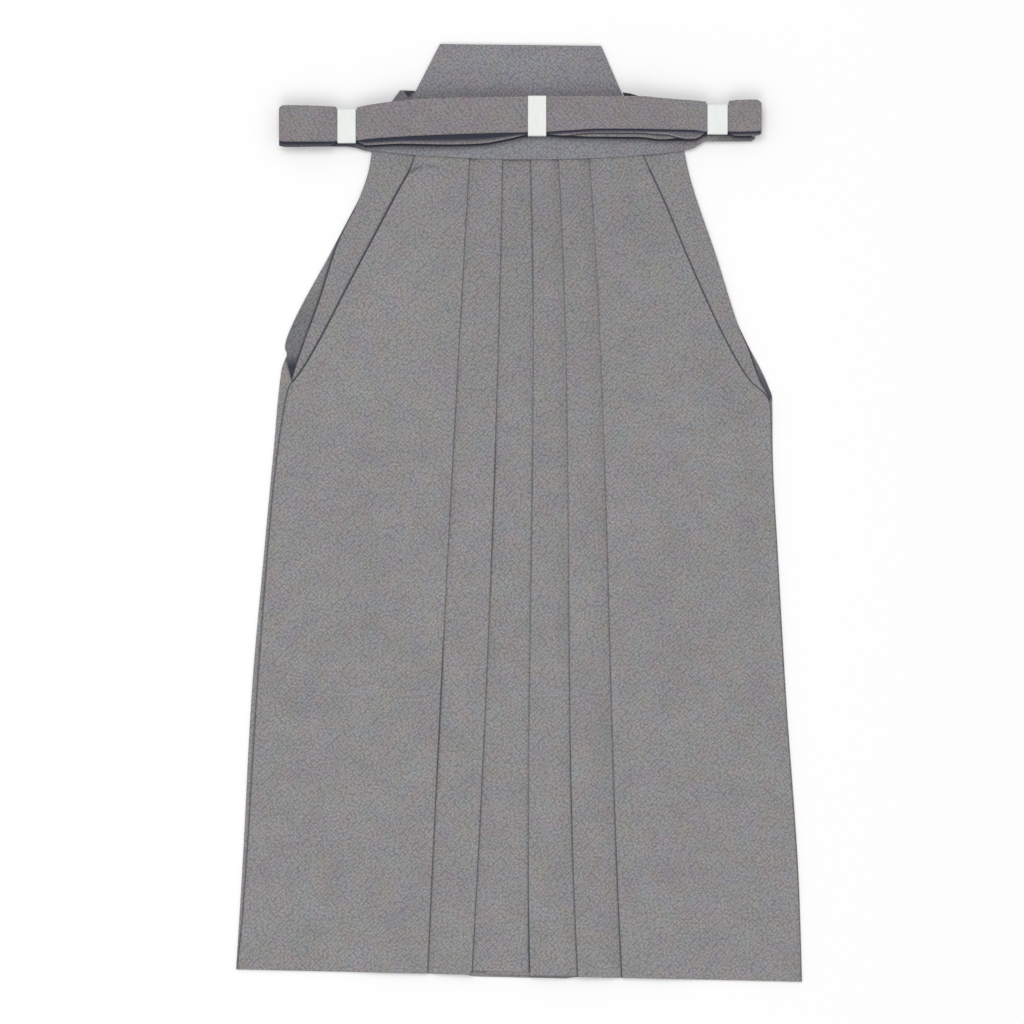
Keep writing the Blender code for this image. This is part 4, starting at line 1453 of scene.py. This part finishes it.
@dataclass
class Ties(SheetPiece):
    """Both front ties, folded to and fro across the waist, and both back ties under them."""
    waistband: Waistband = None
    middle_first_z: float = 0.0116
    outer_first_z: float = 0.0077
    droop: tuple = (0.1050, 0.1650)
    outer_z: float = 0.0049
    back_z: float = 0.0019
    lift_run: float = 0.0120
    upper_follow: float = 0.6
    lower_follow: float = 0.35
    corner_right: float = 0.0032    # rounding of the folded runs' corners at each end
    corner_left: float = 0.0050
    right_turn_low: float = -0.2435
    right_turn_high: float = -0.2491
    left_turn_inner: float = 0.2360
    left_turn_outer: float = 0.2454
    left_turn_high: float = 0.2517
    right_end: float = 0.2320
    back_turn: float = 0.2380
    station_step: float = 0.0040
    end_strip: float = 0.0065       # stretch at each end of a run that only the guards divide
    guards: tuple = (0.0003, 0.0010, 0.0020, 0.0034, 0.0052)
    band_steps: tuple = (0.0002, 0.0009, 0.0016)
    seam_gap: float = 0.00006
    across_shares: tuple = (0.0, 0.02, 0.045, 0.07, 0.10, 0.13, 0.165, 0.20, 0.27, 0.38, 0.50, 0.60, 0.66,
                            0.70, 0.73, 0.76, 0.79, 0.815, 0.84, 0.865, 0.89, 0.915, 0.94, 0.965, 0.985, 1.0)
    # Painted shade of the front ties: a line along the top run's lower rim, shade under the top run, a shade
    # over the lower runs that leaves their rims light, the lower runs on the right, shade under the fifth
    # run and under the stack, and darker ends
    top_rim: Fall = Fall(0.35, 0.0, 0.0012)
    under_top: Fall = Fall(0.96, 0.0016, 0.0044)
    above_rim: Rise = Rise(0.44, 0.0008, 0.0030)
    right_runs: Fall = Fall(0.97, 0.42, 1.02)           # painted shade of the lower runs on the right, by the share of the spread of the runs
    right_half: tuple = (0.012, -0.004)
    least_spread: float = 0.0030
    under_fifth: Fall = Fall(0.9, 0.0006, 0.0022)
    under_bundle: Fall = Fall(0.85, 0.0012, 0.0040)
    dark_right_end: Rise = Rise(0.72, -0.150, -0.175)
    dark_left_end: Rise = Rise(0.30, 0.200, 0.214)

    LEVELS = (1, 2, 3, 4, 5, 6)
    BACK_RETURN = {-1: 0.1660, 1: 0.1860}
    # First places of the back ties, as (lower x, lower rise, upper x, upper rise)
    BACK_START = {-1: ((-0.1280, 0.0330, -0.1076, 0.0718), (-0.1290, 0.0325, -0.1238, 0.0724),
                       (-0.1312, 0.0290, -0.1320, 0.0612)),
                  1: ((0.1250, 0.0290, 0.1077, 0.0702), (0.1262, 0.0288, 0.1156, 0.0692),
                      (0.1310, 0.0278, 0.1290, 0.0650))}

    def run_edges(self, level: int, x: float, side: int) -> tuple:
        """Lower and upper edge, above the waist seam, of one run of the front ties.

        Args:
            level: the run, 0 for the tie itself beyond the waist.
            x: place across.
            side: the sign of the tie's side.

        Returns:
            The two heights.
        """
        if level == 0:
            lower = TIE_LOWER[side](x)
            return lower, min(lower + TIE_WIDTH, RUN_UPPER(x) - band_pinch(x) - 0.0005)
        sag = run_sag(level, x) * run_spread(x)
        tip = self.left_turn_high if x > 0.0 else -self.right_turn_high
        radius = self.corner_left if x > 0.0 else self.corner_right
        into = min(max((radius - (tip - abs(x))) / radius, 0.0), 1.0)
        cut = radius * (1.0 - math.sqrt(1.0 - into * into))
        upper = RUN_UPPER(x) - self.upper_follow * sag - cut - band_pinch(x)
        return RUN_LOWER(x) - sag + self.lower_follow * cut, upper

    def run_height(self, level: int, x: float) -> float:
        """Middle height of a run: the tie itself beyond the waist, the folded runs over everything.

        Args:
            level: the run.
            x: place across.

        Returns:
            The height above the floor.
        """
        if level == 0:
            end = abs(self.waistband.ends[0] if x < 0.0 else self.waistband.ends[1])
            start_z = self.waistband.end_z + self.waistband.wall / 2
            return lerp(start_z, self.outer_z, smoothstep(end, end + self.lift_run, abs(x)))
        first = lerp(self.middle_first_z, self.outer_first_z, smoothstep(*self.droop, abs(x)))
        return first + (level - 1) * TIE_PITCH

    def run(self, level: int, start: float, end: float, side: int) -> list:
        """Places along one run, closest at its ends and beside the bands.

        Args:
            level: the run.
            start: place across of its start.
            end: place across of its end.
            side: the sign of the tie's side.

        Returns:
            The places, from start to end.
        """
        low, high = min(start, end), max(start, end)
        inner_low, inner_high = low + self.end_strip, high - self.end_strip
        near_bands = [band.across + sign * (band.half_width + step) for band in BAND_PLACES
                      for sign in (-1, 1) for step in self.band_steps]
        near_bands = [x for x in near_bands if inner_low < x < inner_high]
        numbers = range(math.floor(low / self.station_step) + 1, math.ceil(high / self.station_step))
        inside = [x for x in (k * self.station_step for k in numbers) if inner_low < x < inner_high
                  and all(abs(x - near) > 0.0005 for near in near_bands)]
        guards = [near for step in self.guards for near in (low + step, high - step)]
        inside = sorted(inside + guards + near_bands, reverse=start > end)
        return [RunPlace(x, self.run_height(level, x), *self.run_edges(level, x, side), level)
                for x in (start, *inside, end)]

    def shade(self, level: float, x: float, rise: float) -> float:
        """Painted shade at a place of a front tie, by where it lies in the stack.

        Args:
            level: its run, with parts of one round the half-turns.
            x: place across.
            rise: height above the waist seam.

        Returns:
            The painted shade, from 0 to 1.
        """
        lower = RUN_LOWER(x)
        if level > 5.6:
            return self.top_rim.at(rise - lower)
        painted_shades = [self.under_top.at(lower - rise), self.dark_right_end.at(x), self.dark_left_end.at(x)]
        if level < 0.5:
            painted_shades.append(self.under_bundle.at(RUN_SECOND(x) - rise))
        if level > 0.5:
            painted_shades.append(self.above_rim.at(rise - self.run_edges(round(level), x, 1)[0]))
            share = (lower - rise) / max(run_spread(x), self.least_spread)
            painted_shades.append(smoothstep(*self.right_half, x) * self.right_runs.at(share))
        if 3.5 < level < 4.5:
            painted_shades.append(self.under_fifth.at(lower - run_sag(5, x) * run_spread(x) - rise))
        return max(painted_shades)

    @staticmethod
    def tab_shade(x: float, rise: float) -> float:
        """Painted shade of the fold at the corner of a back tie beside the board.

        Args:
            x: place across.
            rise: height above the waist seam.

        Returns:
            The painted shade, from 0 to 1.
        """
        if x > 0.0:
            return 0.9 * smoothstep(0.0630, 0.0640, rise)
        share = (rise - 0.0645) / 0.0069
        low_side, high_side = lerp(-0.1144, -0.1203, share), lerp(-0.1144, -0.1082, share)
        inside = smoothstep(low_side - 0.0006, low_side + 0.0008, x)
        inside *= fade(high_side - 0.0006, high_side + 0.0008, x)
        return 0.08 + 0.78 * inside * smoothstep(-0.05, 0.10, share)

    @staticmethod
    def half_turn(before: RunPlace, after: RunPlace, faces: int) -> list:
        """Places round a half-turn.

        Args:
            before: the end of the run below.
            after: the start of the run above.
            faces: +1 for a turn that looks to +X, else -1.

        Returns:
            The places between the two.
        """
        radius = (after.z - before.z) / 2
        places = []
        for k in range(1, ARC_STEPS):
            angle = math.pi * k / ARC_STEPS
            between = (lerp(p, q, k / ARC_STEPS) for p, q in zip(before[2:], after[2:]))
            places.append(RunPlace(before.x + faces * radius * math.sin(angle),
                                   before.z + radius * (1.0 - math.cos(angle)), *between))
        return places

    def turn_middle(self, tip: float, below: int, above: int) -> float:
        """Where a run ends so that its half-turn just reaches the tip."""
        radius = (self.run_height(above, tip) - self.run_height(below, tip)) / 2
        return tip - math.copysign(radius + TIE / 2, tip)

    def strap(self, name: str, node: str, places: list, rests_on: tuple, start: tuple = ()) -> None:
        """Build a tie as one flat strap through its places.

        Args:
            name: the piece's name.
            node: the solid that it stands for.
            places: the places along it.
            rests_on: what it lies on.
            start: first places at the board, as (lower x, lower rise, upper x, upper rise, z).
        """
        first_places = list(start[:1])
        for a, b in zip(start, start[1:]):
            first_places += [tuple(lerp(p, q, k / 10) for p, q in zip(a, b)) for k in range(1, 11)]
        rows = []
        for share in self.across_shares:
            row = []
            for low_x, low, up_x, up, z in first_places:
                x, rise = lerp(up_x, low_x, share), lerp(up, low, share)
                row.append(Place(x, WAIST_Y + rise, z, self.tab_shade(x, rise)))
            for x, z, low, high, level in places:
                rise = lerp(high, low, share)
                row.append(Place(x, WAIST_Y + rise, z, self.shade(level, x, rise)))
            rows.append(row)
        self.settle(self.loft(name, rows, TIE), node, flat_cut(rows), rests_on)

    def build_front(self, side: Side, levels: tuple, tips: tuple, end: float) -> None:
        """Build one front tie.

        Args:
            side: its side.
            levels: its runs, from the waistband on.
            tips: how far across each half-turn between them reaches.
            end: place across of its free end.
        """
        word, sign = side.name.lower(), side.value
        start = self.waistband.ends[0 if sign < 0 else 1] + sign * self.seam_gap
        turns = [self.turn_middle(tip, below, above) for tip, below, above in zip(tips, levels, levels[1:])]
        stops = (start, *turns, end)
        runs = [self.run(level, a, b, sign) for level, a, b in zip(levels, stops, stops[1:])]
        places = runs[0]
        for after in runs[1:]:
            before = places[-1]
            places = places + self.half_turn(before, after[0], 1 if before.x > 0.0 else -1) + after
        self.strap(f"front_tie_{word}_cloth", f"front_tie_{word}", places,
                   ("front_waistband", f"back_tie_{word}"))

    def build_back(self, side: Side) -> None:
        """Build one back tie, which turns back under the folded runs.

        Args:
            side: its side.
        """
        word, sign = side.name.lower(), side.value
        start = tuple((*first, self.back_z) for first in self.BACK_START[sign])
        inner = start[-1][0] + sign * 0.0040
        fold = sign * (self.back_turn - TIE_PITCH / 2 - TIE / 2)
        home = sign * self.BACK_RETURN[sign]
        home_z = self.back_z + TIE_PITCH
        out_run = [self.back_place(sign, lerp(inner, fold, k / 28), self.back_z) for k in range(29)]
        home_run = [self.back_place(sign, lerp(fold, home, k / 12), home_z) for k in range(13)]
        places = out_run + self.half_turn(out_run[-1], home_run[0], sign) + home_run
        self.strap(f"back_tie_{word}_cloth", f"back_tie_{word}", places, ("back_board",), start)

    @staticmethod
    def back_place(side: int, x: float, z: float) -> RunPlace:
        """A place of a back tie, at a place across and a height."""
        low = BACK_TIE_LOWER[side](x)
        return RunPlace(x, z, low, min(low + TIE_WIDTH, RUN_UPPER(x) - band_pinch(x) - 0.0010), 0.0)

    def build(self) -> None:
        """Build both front ties, then both back ties."""
        self.build_front(Side.RIGHT, (0, 1, 2, 3),
                         (self.right_turn_low, self.left_turn_inner, self.right_turn_low), self.right_end)
        self.build_front(Side.LEFT, (0, 4, 5, 6),
                         (self.left_turn_outer, self.right_turn_high, self.left_turn_high),
                         self.right_turn_high)
        for side in Side:
            self.build_back(side)


@dataclass
class Bands(SheetPiece):
    """The three plain white bands that hold the folded runs together."""
    ties: Ties = None
    wall: float = 0.0010
    corner: float = 0.0012
    corner_steps: int = 6
    row_shares: tuple = (-1.0, -0.6, -0.2, 0.2, 0.6, 1.0)

    def profile(self, half_y: float, half_z: float) -> list:
        """Points round a rectangle with rounded corners.

        Args:
            half_y: half its size along Y.
            half_z: half its size along Z.

        Returns:
            The points about its middle, the first of them again at the end.
        """
        points = []
        for quarter, (side_y, side_z) in enumerate(((1, 1), (-1, 1), (-1, -1), (1, -1))):
            for k in range(self.corner_steps + 1):
                angle = math.pi / 2 * (quarter + k / self.corner_steps)
                points.append((side_y * (half_y - self.corner) + self.corner * math.cos(angle),
                               side_z * (half_z - self.corner) + self.corner * math.sin(angle)))
        return [*points, points[0]]

    def build(self) -> None:
        """Build the bands, each a closed loop of tape round the runs."""
        levels = self.ties.LEVELS
        reach = GAP + self.wall / 2
        for name, across, half_width, _ in BAND_PLACES:
            edges = [self.ties.run_edges(level, across + half_width * share, 1) for level in levels
                     for share in (-1.0, -0.5, 0.0, 0.5, 1.0)]
            low, high = min(lower for lower, _ in edges), max(upper for _, upper in edges)
            bottom = self.ties.run_height(min(levels), across) - TIE / 2
            top = self.ties.run_height(max(levels), across) + TIE / 2
            profile = self.profile((high - low) / 2 + reach, (top - bottom) / 2 + reach)
            middle_y, middle_z = WAIST_Y + (low + high) / 2, (bottom + top) / 2
            rows = [[Place(across + half_width * share, middle_y + y, middle_z + z) for y, z in profile]
                    for share in self.row_shares]
            cut = flat_cut(rows)
            band = self.loft(f"{name}_tape", rows, self.wall)
            self.close(band)
            self.settle(band, name, Cut(cut.length, cut.width, cut.length * cut.width), ("front_tie_left",))

    @staticmethod
    def close(band: bpy.types.Object) -> None:
        """Join the ends of a loop of tape, and point its faces outwards.

        Args:
            band: the loop, whose rows end where they start.
        """
        bm = bmesh.new()
        bm.from_mesh(band.data)
        bmesh.ops.remove_doubles(bm, verts=bm.verts[:], dist=0.00001)
        bmesh.ops.recalc_face_normals(bm, faces=bm.faces[:])
        bm.to_mesh(band.data)
        bm.free()


class Lamp(NamedTuple):
    """A square soft light that looks at the middle of the trousers."""
    name: str
    place: tuple
    size: float
    power: float


@dataclass
class Studio:
    """Pale floor, soft light and the camera at the photograph's angle."""
    lens: float = 200.0
    sensor: float = 36.0
    view_width: float = 1.065
    aim: tuple = (-0.0073, 0.0009)
    floor_size: float = 14.0
    floor_z: float = -0.0004
    glow: float = 0.60
    lamps: tuple = (Lamp("window", (-1.0, 2.2, 6.2), 3.6, 140.0), Lamp("fill", (-0.6, -3.8, 5.6), 4.0, 98.0))

    def build(self) -> None:
        """Build the floor, the lights and the camera."""
        self.floor()
        self.lights()
        self.camera()

    def floor(self) -> None:
        """A wide pale floor just below the cloth."""
        bm = bmesh.new()
        bmesh.ops.create_grid(bm, x_segments=4, y_segments=4, size=self.floor_size / 2)
        bmesh.ops.translate(bm, verts=bm.verts[:], vec=(0.0, 0.0, self.floor_z))
        add_object(bm, "floor", FloorFinish().make())

    def lights(self) -> None:
        """One broad soft light from beyond the waist, a fill from beyond the hem and an even glow."""
        scene = bpy.context.scene
        world = bpy.data.worlds.new("studio")
        world.use_nodes = True
        background = world.node_tree.nodes["Background"]
        background.inputs["Color"].default_value = (1.0, 1.0, 1.0, 1.0)
        background.inputs["Strength"].default_value = self.glow
        scene.world = world
        for lamp in self.lamps:
            data = bpy.data.lights.new(lamp.name, "AREA")
            data.size = lamp.size
            data.energy = lamp.power
            light = bpy.data.objects.new(lamp.name, data)
            light.location = lamp.place
            light.rotation_euler = (-Vector(lamp.place)).to_track_quat("-Z", "Y").to_euler()
            scene.collection.objects.link(light)
        scene.view_settings.view_transform = "Standard"
        scene.view_settings.look = "None"

    def camera(self) -> None:
        """The camera straight above, with the waist at the top of the picture."""
        data = bpy.data.cameras.new("camera")
        data.lens = self.lens
        data.sensor_width = self.sensor
        camera = bpy.data.objects.new("camera", data)
        camera.location = (*self.aim, self.view_width * self.lens / self.sensor)
        bpy.context.scene.collection.objects.link(camera)
        bpy.context.scene.camera = camera


def main() -> None:
    """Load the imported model, dress every solid and set up the studio."""
    logging.basicConfig(level=logging.INFO, format="%(message)s")
    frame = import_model()
    LOG.info("%d solids loaded", len(frame["nodes"]))
    grey_colour, tie_colour = (0.262, 0.255, 0.259), (0.236, 0.220, 0.229)
    # The cloth with painted shade in folds and covered places, and copies without it for faces that look
    # down and for the board
    grey = ClothFinish("grey_twill", grey_colour).make()
    grey_under = ClothFinish("grey_twill_under", grey_colour, paints_shade=False).make()
    board_grey = ClothFinish("board_twill", (0.243, 0.239, 0.256), paints_shade=False).make()
    tie_grey = ClothFinish("tie_twill", tie_colour).make()
    tie_under = ClothFinish("tie_twill_under", tie_colour, paints_shade=False).make()
    band_grey = ClothFinish("waistband_twill", (0.240, 0.242, 0.262)).make()
    waistband = Waistband(band_grey, "tie_cloth", under=tie_under)
    ties = Ties(tie_grey, "tie_cloth", Hold.FOLDED, under=tie_under, waistband=waistband)
    for part in (Backs(grey, "grey_cloth", under=grey_under),
                 Leaves(grey, "grey_cloth", under=grey_under),
                 Fronts(grey, "grey_cloth", Hold.FOLDED, under=grey_under),
                 Board(board_grey),
                 waistband,
                 ties,
                 Bands(BandFinish().make(), "white_band", Hold.STRETCHED, ties=ties),
                 Studio()):
        part.build()


if __name__ == "__main__":
    main()
